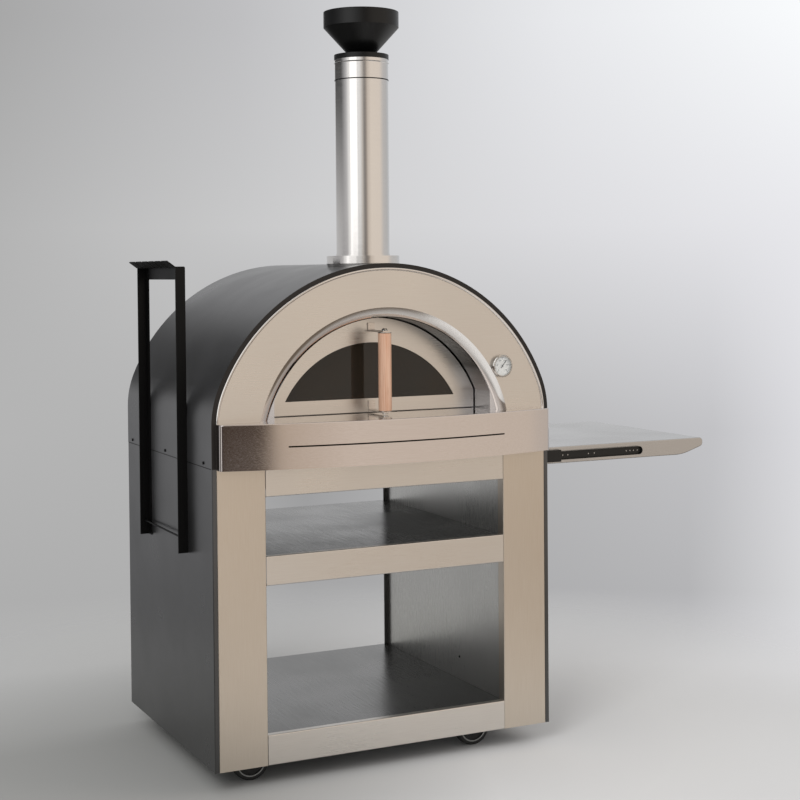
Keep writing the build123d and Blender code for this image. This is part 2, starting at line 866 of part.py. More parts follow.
with BuildPart() as thermometer_case:
    with BuildSketch(front(front_y)):
        with Locations((dial_x, dial_z)):
            Circle(bezel_diameter / 2)
    extrude(amount=bezel_depth)
    chamfer(thermometer_case.faces().sort_by(Axis.Y)[0].edges(), bezel_width / 2)
    with BuildSketch(front(dial_y)):
        with Locations((dial_x, dial_z)):
            Circle(bezel_bore / 2)
    extrude(amount=bezel_depth, mode=Mode.SUBTRACT)
    with BuildSketch(front(front_y)):
        with Locations((dial_x, dial_z)):
            Circle(probe_diameter / 2)
    extrude(amount=-probe_length)
    with BuildSketch(front(dial_y)):
        with Locations((dial_x, dial_z)):
            Circle(spindle_diameter / 2 + running_clearance)
    extrude(amount=-spindle_bore_depth, mode=Mode.SUBTRACT)
thermometer_case.part.label = "thermometer_case"
export_step(thermometer_case.part, "parts/thermometer_case.step")

with BuildPart() as thermometer_dial:
    with BuildSketch(front(dial_y)):
        with Locations((dial_x, dial_z)):
            Circle(bezel_bore / 2)
            Circle(spindle_diameter / 2 + running_clearance, mode=Mode.SUBTRACT)
    extrude(amount=dial_thickness)
thermometer_dial.part.label = "thermometer_dial"
export_step(thermometer_dial.part, "parts/thermometer_dial.step")

needle_y = dial_y - dial_thickness - 2 * body_gap

with BuildPart() as thermometer_needle:
    with BuildSketch(front(needle_y)):
        with Locations((dial_x, dial_z)):
            Circle(needle_boss / 2)
            with Locations(Rotation(0, 0, needle_angle)):
                with Locations(((needle_length - needle_tail) / 2, 0)):
                    Rectangle(needle_length + needle_tail, needle_width)
    extrude(amount=needle_thickness)
    with BuildSketch(front(needle_y)):
        with Locations((dial_x, dial_z)):
            Circle(spindle_diameter / 2)
    extrude(amount=-(dial_y - needle_y + spindle_depth))
thermometer_needle.part.label = "thermometer_needle"
export_step(thermometer_needle.part, "parts/thermometer_needle.step")

with BuildPart() as thermometer_lens:
    with BuildSketch(front(case_y + 2 * sheet)):
        with Locations((dial_x, dial_z)):
            Circle(bezel_bore / 2)
    extrude(amount=sheet)
thermometer_lens.part.label = "thermometer_lens"
export_step(thermometer_lens.part, "parts/thermometer_lens.step")

# ---- Chimney ----
flue_axis = Axis((0, flue_y, 0), (0, 0, 1))
collar_radius = collar_diameter / 2
flue_plane = Plane((0, flue_y, 0), x_dir=(1, 0, 0), z_dir=(0, -1, 0))

with BuildPart() as flue_collar:
    skirt_z = crown_z - collar_skirt
    with BuildSketch(flue_plane):
        with BuildLine():
            Polyline(
                (pipe_radius - pipe_wall, collar_z - sheet),
                (pipe_radius - pipe_wall, collar_z + collar_lip),
                (pipe_radius + pipe_wall, collar_z + collar_lip),
                (pipe_radius + pipe_wall, collar_z),
                (collar_radius, collar_z),
                (collar_radius, crown_z),
                (collar_neck_diameter / 2, skirt_z),
                (collar_neck_diameter / 2 - sheet, skirt_z),
                (collar_radius - sheet, crown_z),
                (collar_radius - sheet, collar_z - sheet),
                close=True,
            )
        make_face()
    revolve(axis=flue_axis)
    with BuildSketch(front(front_y)):
        make_face(arch(0, seam_z))
    extrude(amount=-body_depth, mode=Mode.SUBTRACT)
flue_collar.part.label = "flue_collar"
export_step(flue_collar.part, "parts/flue_collar.step")

with BuildPart() as inner_flue:
    with BuildSketch(level(haunch_z)):
        ring(flue_bore_diameter + 2 * flue_wall, flue_bore_diameter, (0, flue_y))
    extrude(amount=pipe_top_z - haunch_z - flue_top_gap)
    with BuildSketch(front(tunnel_y)):
        make_face(tunnel(-sheet, seam_z))
    extrude(amount=-tunnel_length, mode=Mode.SUBTRACT)
inner_flue.part.label = "inner_flue"
export_step(inner_flue.part, "parts/inner_flue.step")

with BuildPart() as chimney_pipe:
    with BuildSketch(level(collar_z + collar_lip)):
        ring(pipe_diameter, pipe_diameter - 2 * pipe_wall, (0, flue_y))
    extrude(amount=pipe_seam_z - collar_z - collar_lip)
chimney_pipe.part.label = "chimney_pipe"
export_step(chimney_pipe.part, "parts/chimney_pipe.step")

bead_z = pipe_top_z - bead_from_top

with BuildPart() as chimney_sleeve:
    with BuildSketch(flue_plane):
        sleeve_in = pipe_radius - pipe_wall
        sleeve_out = pipe_radius + sleeve_lap
        with BuildLine():
            Polyline(
                (sleeve_in, pipe_seam_z),
                (sleeve_out, pipe_seam_z),
                (sleeve_out, bead_z - bead_radius),
                (sleeve_out + bead_radius, bead_z),
                (sleeve_out, bead_z + bead_radius),
                (sleeve_out, pipe_top_z),
                (sleeve_in, pipe_top_z),
                close=True,
            )
        make_face()
    revolve(axis=flue_axis)
chimney_sleeve.part.label = "chimney_sleeve"
export_step(chimney_sleeve.part, "parts/chimney_sleeve.step")

cap_base_z = pipe_top_z + cap_ring_height
cap_cone_z = cap_base_z + cap_ring_step
cap_rim_z = cap_cone_z + cap_cone_height
cap_top_z = cap_rim_z + cap_rim_height
cap_neck = cap_neck_diameter / 2
cap_radius = cap_diameter / 2

with BuildPart() as chimney_cap:
    with BuildSketch(flue_plane):
        with BuildLine():
            Polyline(
                (cap_neck - cap_wall, pipe_top_z - cap_neck_reach),
                (cap_neck, pipe_top_z - cap_neck_reach),
                (cap_neck, cap_base_z - cap_wall),
                (pipe_radius - pipe_wall, cap_base_z - cap_wall),
                (pipe_radius - pipe_wall, pipe_top_z),
                (pipe_radius + pipe_wall, pipe_top_z),
                (pipe_radius + pipe_wall, cap_base_z),
                (cap_neck, cap_base_z),
                (cap_neck, cap_cone_z),
                (cap_radius, cap_rim_z),
                (cap_radius, cap_top_z),
                (cap_radius - cap_wall, cap_top_z),
                (cap_radius - cap_wall, cap_rim_z + cap_wall / 2),
                (cap_neck - cap_wall, cap_cone_z + cap_wall / 2),
                close=True,
            )
        make_face()
    revolve(axis=flue_axis)
chimney_cap.part.label = "chimney_cap"
export_step(chimney_cap.part, "parts/chimney_cap.step")


# ---- Tool rack ----
def rack_post(y, sign):
    """Angle post that stands on the left side, with its flat leg turned by sign along Y."""
    skin = -half_width
    with BuildPart() as post:
        with BuildSketch(level(post_foot_z)):
            low, high = sorted((y, y + sign * post_thickness))
            rect(skin - post_leg, skin, low, high)
            low, high = sorted((y, y + sign * post_leg))
            rect(skin - post_thickness, skin, low, high)
        extrude(amount=rack_height - post_thickness)
        cross_holes(rack_bolt_spots)
    return post.part


with BuildPart() as rack_post_front:
    add(rack_post(rack_front_y, 1))
rack_post_front.part.label = "rack_post_front"
export_step(rack_post_front.part, "parts/rack_post_front.step")

with BuildPart() as rack_post_back:
    add(rack_post(rack_back_y, -1))
rack_post_back.part.label = "rack_post_back"
export_step(rack_post_back.part, "parts/rack_post_back.step")

rack_outer_x = -half_width - post_leg
prong_pitch = prong_width + prong_slot
prong_span = prong_count * prong_pitch - prong_slot
prong_margin = (rack_width - prong_span) / 2

with BuildPart() as rack_comb:
    comb_section = [
        (-half_width, rack_top_z - strap_height),
        (-half_width, rack_top_z),
        (rack_outer_x, rack_top_z),
        (rack_outer_x - prong_reach, rack_top_z + prong_lift),
    ]
    with BuildSketch(front(rack_front_y)):
        make_face(folded(comb_section, post_thickness, radius=post_thickness + 1))
    extrude(amount=-rack_width)
    with BuildSketch(level(rack_top_z - strap_height)):
        rect(-half_width - post_leg, -half_width, rack_front_y, rack_front_y + post_leg + joint_gap)
        rect(-half_width - post_leg, -half_width, rack_back_y - post_leg - joint_gap, rack_back_y)
    extrude(amount=strap_height - post_thickness, mode=Mode.SUBTRACT)
    with BuildSketch(level(rack_top_z - strap_height)):
        for index in range(prong_count - 1):
            slot_y = rack_front_y + prong_margin + prong_width + index * prong_pitch
            rect(rack_outer_x - 2 * prong_reach, rack_outer_x, slot_y, slot_y + prong_slot)
    extrude(amount=strap_height + 2 * prong_lift, mode=Mode.SUBTRACT)
rack_comb.part.label = "rack_comb"
export_step(rack_comb.part, "parts/rack_comb.step")

rod_x = -half_width - post_leg / 2
rod_z = post_foot_z + rod_rise

with BuildPart() as rack_rod:
    with BuildSketch(front(rack_front_y + post_thickness)):
        with Locations((rod_x, rod_z)):
            Circle(rack_rod_diameter / 2)
    extrude(amount=-(rack_width - 2 * post_thickness))
rack_rod.part.label = "rack_rod"
export_step(rack_rod.part, "parts/rack_rod.step")

# ---- Side shelf and its slides ----
shelf_foot_z = shelf_z - shelf_height

with BuildPart() as side_shelf:
    with BuildSketch(front(shelf_front_y)) as shelf_section:
        with BuildLine():
            Polyline(
                (shelf_start_x, shelf_z),
                (shelf_end_x, shelf_z),
                (shelf_end_x, shelf_z - nose_depth),
                (shelf_end_x - nose_run, shelf_foot_z),
                (shelf_start_x, shelf_foot_z),
                close=True,
            )
        make_face()
        fillet(shelf_section.vertices().group_by(Axis.Y)[0].sort_by(Axis.X)[-1], belly_radius)
        fillet(shelf_section.vertices().group_by(Axis.X)[-1], nose_radius)
    extrude(amount=-(shelf_back_y - shelf_front_y))
    fillet(side_shelf.edges().filter_by(Axis.X).group_by(Axis.Z)[-1], fold_radius)
    with BuildSketch(front(shelf_front_y + sheet)):
        add(shelf_section.sketch_local)
        offset(amount=-sheet, mode=Mode.REPLACE)
    extrude(amount=-(shelf_back_y - shelf_front_y - 2 * sheet), mode=Mode.SUBTRACT)
    with BuildSketch(level(shelf_foot_z)):
        open_end_x = shelf_end_x - nose_run - shelf_height
        rect(shelf_start_x, open_end_x, shelf_front_y + sheet, shelf_back_y - sheet)
    extrude(amount=sheet, mode=Mode.SUBTRACT)
side_shelf.part.label = "side_shelf"
export_step(side_shelf.part, "parts/side_shelf.step")

race_height = slide_member_height + 2 * (race_gap + slide_race)
outer_height = race_height + 2 * (joint_gap + slide_steel)


def across(y_shelf, outward, near, far):
    """Limits in Y of a layer that lies between near and far from the shelf's skirt."""
    return sorted((y_shelf + outward * near, y_shelf + outward * far))


skirts = ((shelf_front_y, -1), (shelf_back_y, 1))
member_start_x = slide_end_x - slide_length
middle_start_x = slide_end_x - shelf_travel / 2 - slide_length - slide_middle_setback
outer_start_x = slide_end_x - shelf_travel - slide_length - slide_outer_setback


def channel(x, length, y_shelf, outward, height, open_near, web_far):
    """Slide member: a channel whose web is at web_far and whose lips reach to open_near."""
    half = height / 2
    with BuildPart() as member:
        with BuildSketch(side(x)):
            y0, y1 = across(y_shelf, outward, open_near, web_far)
            rect(y0, y1, slide_z - half, slide_z + half)
            y0, y1 = across(y_shelf, outward, open_near, web_far - slide_steel)
            rect(y0, y1, slide_z - half + slide_steel, slide_z + half - slide_steel, Mode.SUBTRACT)
        extrude(amount=length)
    return member.part


with BuildPart() as slide_outer_members:
    for y_shelf, outward in skirts:
        add(channel(outer_start_x, slide_length, y_shelf, outward, outer_height, joint_gap, slide_thickness))
slide_outer_members.part.label = "slide_outer_members"
export_step(slide_outer_members.part, "parts/slide_outer_members.step")

with BuildPart() as slide_middle_members:
    for y_shelf, outward in skirts:
        with BuildSketch(side(middle_start_x)):
            half = race_height / 2
            y0, y1 = across(y_shelf, outward, joint_gap, slide_thickness - slide_steel - joint_gap)
            rect(y0, y1, slide_z - half, slide_z + half)
            y0, y1 = across(y_shelf, outward, joint_gap, slide_thickness - 2 * slide_steel - joint_gap)
            rect(y0, y1, slide_z - half + slide_race, slide_z + half - slide_race, Mode.SUBTRACT)
        extrude(amount=slide_length)
slide_middle_members.part.label = "slide_middle_members"
export_step(slide_middle_members.part, "parts/slide_middle_members.step")

with BuildPart() as slide_inner_members:
    half = slide_member_height / 2
    tray_depth = slide_thickness - 2 * slide_steel - 2 * joint_gap - joint_gap
    for y_shelf, outward in skirts:
        with BuildSketch(front(y_shelf)):
            rect(member_start_x, slide_end_x - half, slide_z - half, slide_z + half)
            with Locations((slide_end_x - half, slide_z)):
                Circle(half)
        extrude(amount=-outward * tray_depth)
        with BuildSketch(front(y_shelf + outward * slide_steel)):
            rect(
                member_start_x,
                slide_end_x - half,
                slide_z - half + slide_steel,
                slide_z + half - slide_steel,
            )
            with Locations((slide_end_x - half, slide_z)):
                Circle(half - slide_steel)
        extrude(amount=-outward * tray_depth, mode=Mode.SUBTRACT)
        with BuildSketch(front(y_shelf)):
            with Locations([(slide_end_x - place, slide_z) for place in slide_hole_places]):
                Circle(slide_hole_diameter / 2)
        extrude(amount=-outward * slide_steel, mode=Mode.SUBTRACT)
slide_inner_members.part.label = "slide_inner_members"
export_step(slide_inner_members.part, "parts/slide_inner_members.step")

with BuildPart() as slide_brackets:
    for y_shelf, outward in skirts:
        web_y, back = across(y_shelf, outward, slide_thickness, slide_thickness + sheet)
        foot_y0, foot_y1 = across(y_shelf, outward, 0, slide_thickness + sheet)
        with BuildSketch(side(outer_start_x)):
            rect(web_y, back, pocket_z, slide_z + outer_height / 2)
            rect(foot_y0, foot_y1, pocket_z, pocket_z + sheet)
        extrude(amount=slide_length)
slide_brackets.part.label = "slide_brackets"
export_step(slide_brackets.part, "parts/slide_brackets.step")

# ---- Castors ----
castor_places = {
    "front_left": (-castor_x, -castor_y),
    "front_right": (castor_x, -castor_y),
    "back_left": (-castor_x, castor_y),
    "back_right": (castor_x, castor_y),
}
plate_z = castor_height - plate_thickness
fork_top_z = plate_z - fork_drop
leg_gap = wheel_width / 2 + joint_gap

with BuildPart() as castor_plates:
    with BuildSketch(level(plate_z)):
        with Locations(*castor_places.values()):
            Rectangle(plate_size, plate_size)
            Circle(kingpin_diameter / 2 + running_clearance, mode=Mode.SUBTRACT)
    extrude(amount=plate_thickness)
    with BuildSketch(level(fork_top_z + joint_gap)):
        for place in castor_places.values():
            ring(race_diameter, kingpin_diameter + 2 * running_clearance, place)
    extrude(amount=plate_z - fork_top_z - joint_gap)
castor_plates.part.label = "castor_plates"
export_step(castor_plates.part, "parts/castor_plates.step")


def castor_fork(x, y):
    """Fork with its kingpin and axle, trailing to the left of its kingpin."""
    axle_x = x - castor_trail
    race = race_diameter / 2
    leg = fork_leg_width / 2
    outer = leg_gap + fork_thickness
    with BuildPart() as fork:
        with BuildSketch(level(fork_top_z)):
            rect(x - race, x + race, y - outer, y + outer)
        extrude(amount=-fork_thickness)
        for low in (y - outer, y + leg_gap):
            with BuildSketch(front(low)):
                with BuildLine():
                    Polyline(
                        (x + race, fork_top_z),
                        (x - race, fork_top_z),
                        (axle_x - leg, wheel_radius),
                        (axle_x, wheel_radius - leg),
                        (axle_x + leg, wheel_radius - leg / 2),
                        (x + race, fork_top_z - leg),
                        close=True,
                    )
                make_face()
            extrude(amount=-fork_thickness)
        with BuildSketch(front(y - outer - axle_end)):
            with Locations((axle_x, wheel_radius)):
                Circle(axle_diameter / 2)
        extrude(amount=-2 * (outer + axle_end))
        with BuildSketch(level(fork_top_z)):
            with Locations((x, y)):
                Circle(kingpin_diameter / 2)
        extrude(amount=castor_height - fork_top_z)
    return fork.part


def castor_wheel(x, y):
    """Wheel with its tyre, turned round the axle, with a shallow recess in each side of its hub."""
    half = wheel_width / 2
    shoulder = wheel_radius - tyre_shoulder
    recess_outer = wheel_radius - tyre_thickness - hub_margin / 2
    recess_inner = axle_diameter / 2 + hub_margin
    bore = axle_diameter / 2 + running_clearance
    with BuildPart() as wheel:
        with BuildSketch(side(x - castor_trail)):
            with BuildLine():
                Polyline(
                    (y - half, wheel_radius + bore),
                    (y - half, wheel_radius + shoulder),
                    (y - half + tyre_shoulder, 2 * wheel_radius),
                    (y + half - tyre_shoulder, 2 * wheel_radius),
                    (y + half, wheel_radius + shoulder),
                    (y + half, wheel_radius + bore),
                    close=True,
                )
            make_face()
            for low, high in ((y - half, y - half + hub_recess), (y + half - hub_recess, y + half)):
                rect(low, high, wheel_radius + recess_inner, wheel_radius + recess_outer, Mode.SUBTRACT)
        revolve(axis=Axis((x - castor_trail, 0, wheel_radius), (0, 1, 0)))
    return wheel.part


for name, (x, y) in castor_places.items():
    with BuildPart() as fork:
        add(castor_fork(x, y))
    fork.part.label = "castor_fork_" + name
    export_step(fork.part, "parts/castor_fork_" + name + ".step")
    with BuildPart() as wheel:
        add(castor_wheel(x, y))
    wheel.part.label = "castor_wheel_" + name
    export_step(wheel.part, "parts/castor_wheel_" + name + ".step")

# ---- Fasteners ----
def screw(x, y, z, sign, grip):
    """Pan head screw whose head points along X by sign and whose shank reaches back by grip."""
    with BuildPart() as fastener:
        with BuildSketch(side(x)):
            with Locations((y, z)):
                Circle(screw_diameter / 2)
        extrude(amount=sign * screw_head_height)
        with BuildSketch(side(x)):
            with Locations((y, z)):
                Circle(screw_shank_diameter / 2)
        extrude(amount=-sign * grip)
    return fastener.part


seam_grip = 2 * sheet
seam_screws = [screw(-half_width, y, z, -1, seam_grip) for y, z in seam_screw_spots]
seam_screws += [screw(half_width, y, z, 1, seam_grip) for y, z in seam_screw_spots]
bolt_x = -half_width - post_thickness
rack_bolts = [screw(bolt_x, y, z, -1, post_thickness + sheet) for y, z in rack_bolt_spots]
body_screws = Compound(children=seam_screws + rack_bolts)
body_screws.label = "body_screws"
export_step(body_screws, "parts/body_screws.step")
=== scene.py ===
import logging
import math
from dataclasses import dataclass, field
from enum import Enum
from typing import Any, Dict, List, Optional, Sequence, Tuple

import bmesh
import bpy
from mathutils import Matrix, Vector


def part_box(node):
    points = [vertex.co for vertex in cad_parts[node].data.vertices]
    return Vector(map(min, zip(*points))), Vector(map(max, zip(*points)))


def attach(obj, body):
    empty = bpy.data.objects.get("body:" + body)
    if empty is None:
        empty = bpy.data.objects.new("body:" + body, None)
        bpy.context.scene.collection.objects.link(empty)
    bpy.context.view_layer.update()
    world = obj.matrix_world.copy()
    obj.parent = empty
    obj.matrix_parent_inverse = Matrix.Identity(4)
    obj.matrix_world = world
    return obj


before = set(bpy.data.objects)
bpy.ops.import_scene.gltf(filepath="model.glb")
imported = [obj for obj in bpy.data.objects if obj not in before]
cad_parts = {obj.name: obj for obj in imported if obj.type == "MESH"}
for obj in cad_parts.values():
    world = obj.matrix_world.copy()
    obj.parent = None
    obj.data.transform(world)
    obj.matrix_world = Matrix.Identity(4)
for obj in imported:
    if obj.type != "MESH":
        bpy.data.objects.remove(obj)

# Looks of a wood fired pizza oven on an open steel cabinet.
# Metres, in the oven's own frame: X to its right, Y to its back, Z up from the floor.

LOG = logging.getLogger("pizza_oven")
MM = 0.001
HEX_SIDES = 6
SCREW_SIDES = 16
Color = Tuple[float, float, float, float]
Point = Tuple[float, float, float]
Span = Tuple[float, float]
Tones = Tuple[Tuple[float, str], ...]
# Shader noise seldom leaves this range, so a pattern spread over it uses its full contrast.
NOISE_SPAN: Span = (0.3, 0.7)


def linear(hex_color: str) -> Color:
    """Turn an sRGB hex colour into the linear values that shaders use.

    Args:
        hex_color: The colour as "#rrggbb".

    Returns:
        Red, green, blue and alpha.
    """
    channels = [int(hex_color[i : i + 2], 16) / 255 for i in (1, 3, 5)]
    out = [c / 12.92 if c <= 0.04045 else ((c + 0.055) / 1.055) ** 2.4 for c in channels]
    return (out[0], out[1], out[2], 1.0)


class Grain(Enum):
    """Direction in which a sheet was brushed, as the pattern's scale along each axis."""

    ALONG_X = (0.02, 1.0, 1.0)
    ALONG_Y = (1.0, 0.02, 1.0)
    ALONG_Z = (1.0, 1.0, 0.02)
    AROUND_Z = (0.05, 0.05, 1.0)
    NONE = (1.0, 1.0, 1.0)


# ---- Node helpers ----
def add(tree: bpy.types.NodeTree, kind: str, links: Optional[Dict[Any, Any]] = None, **settings: Any) -> Any:
    """Add a node with its settings, socket values and links.

    Args:
        tree: Node tree that gets the node.
        kind: Node type without its "ShaderNode" prefix, such as "Math".
        links: Value or output socket for each input, by the input's name or index.
        settings: The node's own properties.

    Returns:
        The node.
    """
    node = tree.nodes.new("ShaderNode" + kind)
    for name, value in settings.items():
        setattr(node, name, value)
    for key, value in (links or {}).items():
        if isinstance(value, bpy.types.NodeSocket):
            tree.links.new(value, node.inputs[key])
        else:
            node.inputs[key].default_value = value
    return node


def math_node(tree: bpy.types.NodeTree, operation: str, first: Any, second: Any = 0.0) -> Any:
    """Value socket of a math operation on two values or sockets."""
    return add(tree, "Math", {0: first, 1: second}, operation=operation).outputs[0]


def mixed(tree: bpy.types.NodeTree, factor: Any, first: Any, second: Any) -> Any:
    """Colour socket between two colours, which are hex values or sockets."""
    node = add(tree, "MixRGB", {"Fac": factor})
    for key, value in (("Color1", first), ("Color2", second)):
        if isinstance(value, str):
            node.inputs[key].default_value = linear(value)
        else:
            tree.links.new(value, node.inputs[key])
    return node.outputs[0]


def ramp(tree: bpy.types.NodeTree, factor: Any, stops: Tones) -> Any:
    """Colour socket of a ramp through hex colours.

    Args:
        tree: Node tree that gets the ramp.
        factor: Socket that drives it.
        stops: Position and hex colour of each stop, in rising order.

    Returns:
        The ramp's colour socket.
    """
    node = add(tree, "ValToRGB", {"Fac": factor})
    elements = node.color_ramp.elements
    while len(elements) < len(stops):
        elements.new(0.5)
    for element, (place, color) in zip(elements, stops):
        element.position = place
        element.color = linear(color)
    return node.outputs["Color"]


def spread(
    tree: bpy.types.NodeTree, value: Any, low: float, high: float, start: float = 0.0, end: float = 1.0
) -> Any:
    """Value socket that maps start to end onto low to high, held at both ends."""
    links = {"Value": value, "From Min": start, "From Max": end, "To Min": low, "To Max": high}
    return add(tree, "MapRange", links).outputs["Result"]


def noise(tree: bpy.types.NodeTree, size_mm: float, grain: Grain = Grain.NONE, detail: float = 2.0) -> Any:
    """Value socket of noise on Object coordinates.

    Args:
        tree: Node tree that gets the pattern.
        size_mm: Real width of one feature.
        grain: Direction in which the features run long.
        detail: Octaves of finer noise.

    Returns:
        The noise's value socket.
    """
    place = add(tree, "TexCoord").outputs["Object"]
    mapped = add(tree, "Mapping", {"Vector": place, "Scale": grain.value}).outputs["Vector"]
    links = {"Vector": mapped, "Scale": 1 / (size_mm * MM), "Detail": detail}
    return add(tree, "TexNoise", links).outputs["Fac"]


def bump(tree: bpy.types.NodeTree, height: Any, depth_mm: float) -> Any:
    """Normal socket of a bump of the given real depth."""
    return add(tree, "Bump", {"Height": height, "Distance": depth_mm * MM}).outputs["Normal"]


def axes(tree: bpy.types.NodeTree) -> Any:
    """Separate node whose outputs are the Object coordinates X, Y and Z."""
    return add(tree, "SeparateXYZ", {0: add(tree, "TexCoord").outputs["Object"]})


# ---- Finishes ----
@dataclass(frozen=True)
class Finish:
    """What every finish has: a name and a main colour."""

    name: str
    color: str

    def surface(self, tree: bpy.types.NodeTree) -> Any:
        """Build the surface in the tree and return its shader node."""
        raise NotImplementedError

    def material(self) -> bpy.types.Material:
        """Make the material, or return it if it is made already."""
        made = bpy.data.materials.get(self.name)
        if made is None:
            made = bpy.data.materials.new(self.name)
            made.use_nodes = True
            made.node_tree.nodes.clear()
            shader = self.surface(made.node_tree)
            add(made.node_tree, "OutputMaterial", {"Surface": shader.outputs[0]})
            made.diffuse_color = linear(self.color)
        return made


@dataclass(frozen=True)
class BrushedSteel(Finish):
    """Stainless sheet brushed with fine abrasive, which draws reflections out across the grain."""

    shade: str = "#b5a696"
    roughness: float = 0.3
    grain: Grain = Grain.ALONG_X
    # Real brush lines lie about 0.1 mm apart. They are drawn coarser here, so that they show.
    line_mm: float = 1.4
    line_depth_mm: float = 0.002
    cloud_mm: float = 240.0
    unevenness: float = 0.04
    detail: float = 3.0

    def streaks(self, tree: bpy.types.NodeTree) -> Any:
        """Value socket of the brush lines."""
        return noise(tree, self.line_mm, self.grain, self.detail)

    def tone(self, tree: bpy.types.NodeTree) -> Any:
        """Colour socket: streaks of the two steel tones."""
        return mixed(tree, spread(tree, self.streaks(tree), 0.0, 1.0, 0.35, 0.65), self.shade, self.color)

    def surface(self, tree: bpy.types.NodeTree) -> Any:
        """Streaked metal whose roughness and bump follow the brushing."""
        streaks = self.streaks(tree)
        clouds = noise(tree, self.cloud_mm, Grain.NONE, 1.0)
        low, high = self.roughness - self.unevenness, self.roughness + self.unevenness
        drift = spread(tree, clouds, low, high, *NOISE_SPAN)
        ripple = spread(tree, streaks, -self.unevenness, self.unevenness, *NOISE_SPAN)
        links = {
            "Base Color": self.tone(tree),
            "Metallic": 1.0,
            "Roughness": math_node(tree, "ADD", drift, ripple),
            "Normal": bump(tree, streaks, self.line_depth_mm),
        }
        return add(tree, "BsdfPrincipled", links)


@dataclass(frozen=True)
class LinedSteel(BrushedSteel):
    """Brushed band with one dark stripe, silk printed level along it."""

    line_half: float = 0.318
    line_z: float = 0.898
    line_height: float = 0.004
    ink: str = "#1c1917"

    def tone(self, tree: bpy.types.NodeTree) -> Any:
        """Colour socket: the steel tones, with the stripe drawn over its front."""
        place = axes(tree)
        off = math_node(tree, "ABSOLUTE", math_node(tree, "SUBTRACT", place.outputs["Z"], self.line_z))
        across = math_node(tree, "LESS_THAN", off, self.line_height / 2)
        along = math_node(tree, "LESS_THAN", math_node(tree, "ABSOLUTE", place.outputs["X"]), self.line_half)
        return mixed(tree, math_node(tree, "MULTIPLY", across, along), super().tone(tree), self.ink)


@dataclass(frozen=True)
class CeilingShadeSteel(BrushedSteel):
    """Brushed steel tunnel whose ceiling is painted black as shade, and whose cheeks keep the bare steel."""

    # Painted shade: the black stands for the shadow and dark reflection under the mouth's crown.
    ceiling_shade: str = "#0b0a09"
    shade_start_z: float = 1.015
    black_z: float = 1.085
    ragged_mm: float = 22.0
    ragged_height: float = 0.012

    def tone(self, tree: bpy.types.NodeTree) -> Any:
        """Colour socket: bare steel low down, painted black shade with a ragged edge above."""
        edge = noise(tree, self.ragged_mm, Grain.ALONG_Y, self.detail)
        ragged = spread(tree, edge, -self.ragged_height, self.ragged_height)
        height = math_node(tree, "ADD", axes(tree).outputs["Z"], ragged)
        black = spread(tree, height, 0.0, 1.0, self.shade_start_z, self.black_z)
        return mixed(tree, black, super().tone(tree), self.ceiling_shade)


@dataclass(frozen=True)
class PowderCoat(Finish):
    """Baked powder coat on steel: an even satin skin with a faint orange peel.

    Its tone rises with height, which stands in for soft light from above. The index is given per
    coat too: real paint has about 1.5.
    """

    roughness: float = 0.36
    upper: str = "#3a3a3b"
    index: float = 1.5
    peel_mm: float = 2.2
    peel_depth_mm: float = 0.01
    foot_z: float = 0.1
    upper_z: float = 0.85
    haze_mm: float = 190.0

    def surface(self, tree: bpy.types.NodeTree) -> Any:
        """Colour that pales from the foot upwards, with light haze and orange peel."""
        peel = noise(tree, self.peel_mm)
        haze = noise(tree, self.haze_mm, Grain.NONE, 3.0)
        height = spread(tree, axes(tree).outputs["Z"], 0.0, 0.85, self.foot_z, self.upper_z)
        pale = math_node(tree, "ADD", height, spread(tree, haze, -0.1, 0.15, 0.35, 0.75))
        links = {
            "Base Color": mixed(tree, spread(tree, pale, 0.0, 1.0), self.color, self.upper),
            "Roughness": spread(tree, haze, self.roughness - 0.03, self.roughness + 0.05, *NOISE_SPAN),
            "IOR": self.index,
            "Normal": bump(tree, peel, self.peel_depth_mm),
        }
        return add(tree, "BsdfPrincipled", links)


@dataclass(frozen=True)
class PlainMetal(Finish):
    """Bright or zinc plated metal on small fittings, with a fine grain and slight cloudiness."""

    roughness: float = 0.25
    shade: str = "#8d8c8a"
    grain_mm: float = 3.0

    def surface(self, tree: bpy.types.NodeTree) -> Any:
        """Metal whose tone and roughness drift slightly."""
        cloud = noise(tree, self.grain_mm, Grain.NONE, 3.0)
        links = {
            "Base Color": mixed(tree, spread(tree, cloud, 0.0, 1.0, *NOISE_SPAN), self.shade, self.color),
            "Metallic": 1.0,
            "Roughness": spread(tree, cloud, self.roughness - 0.05, self.roughness + 0.08, *NOISE_SPAN),
        }
        return add(tree, "BsdfPrincipled", links)


@dataclass(frozen=True)
class Fired(Finish):
    """Cast refractory or fired stone: matt, with grit, pits and a cloudy tone."""

    shade: str = "#8c8070"
    grit_mm: float = 1.8
    grit_depth_mm: float = 0.5
    cloud_mm: float = 60.0

    def surface(self, tree: bpy.types.NodeTree) -> Any:
        """Mottled matt body with grit in its bump."""
        grit = noise(tree, self.grit_mm, Grain.NONE, 5.0)
        cloud = noise(tree, self.cloud_mm, Grain.NONE, 4.0)
        links = {
            "Base Color": mixed(tree, spread(tree, cloud, 0.0, 1.0, *NOISE_SPAN), self.color, self.shade),
            "Roughness": spread(tree, grit, 0.82, 0.96),
            "Normal": bump(tree, grit, self.grit_depth_mm),
        }
        return add(tree, "BsdfPrincipled", links)


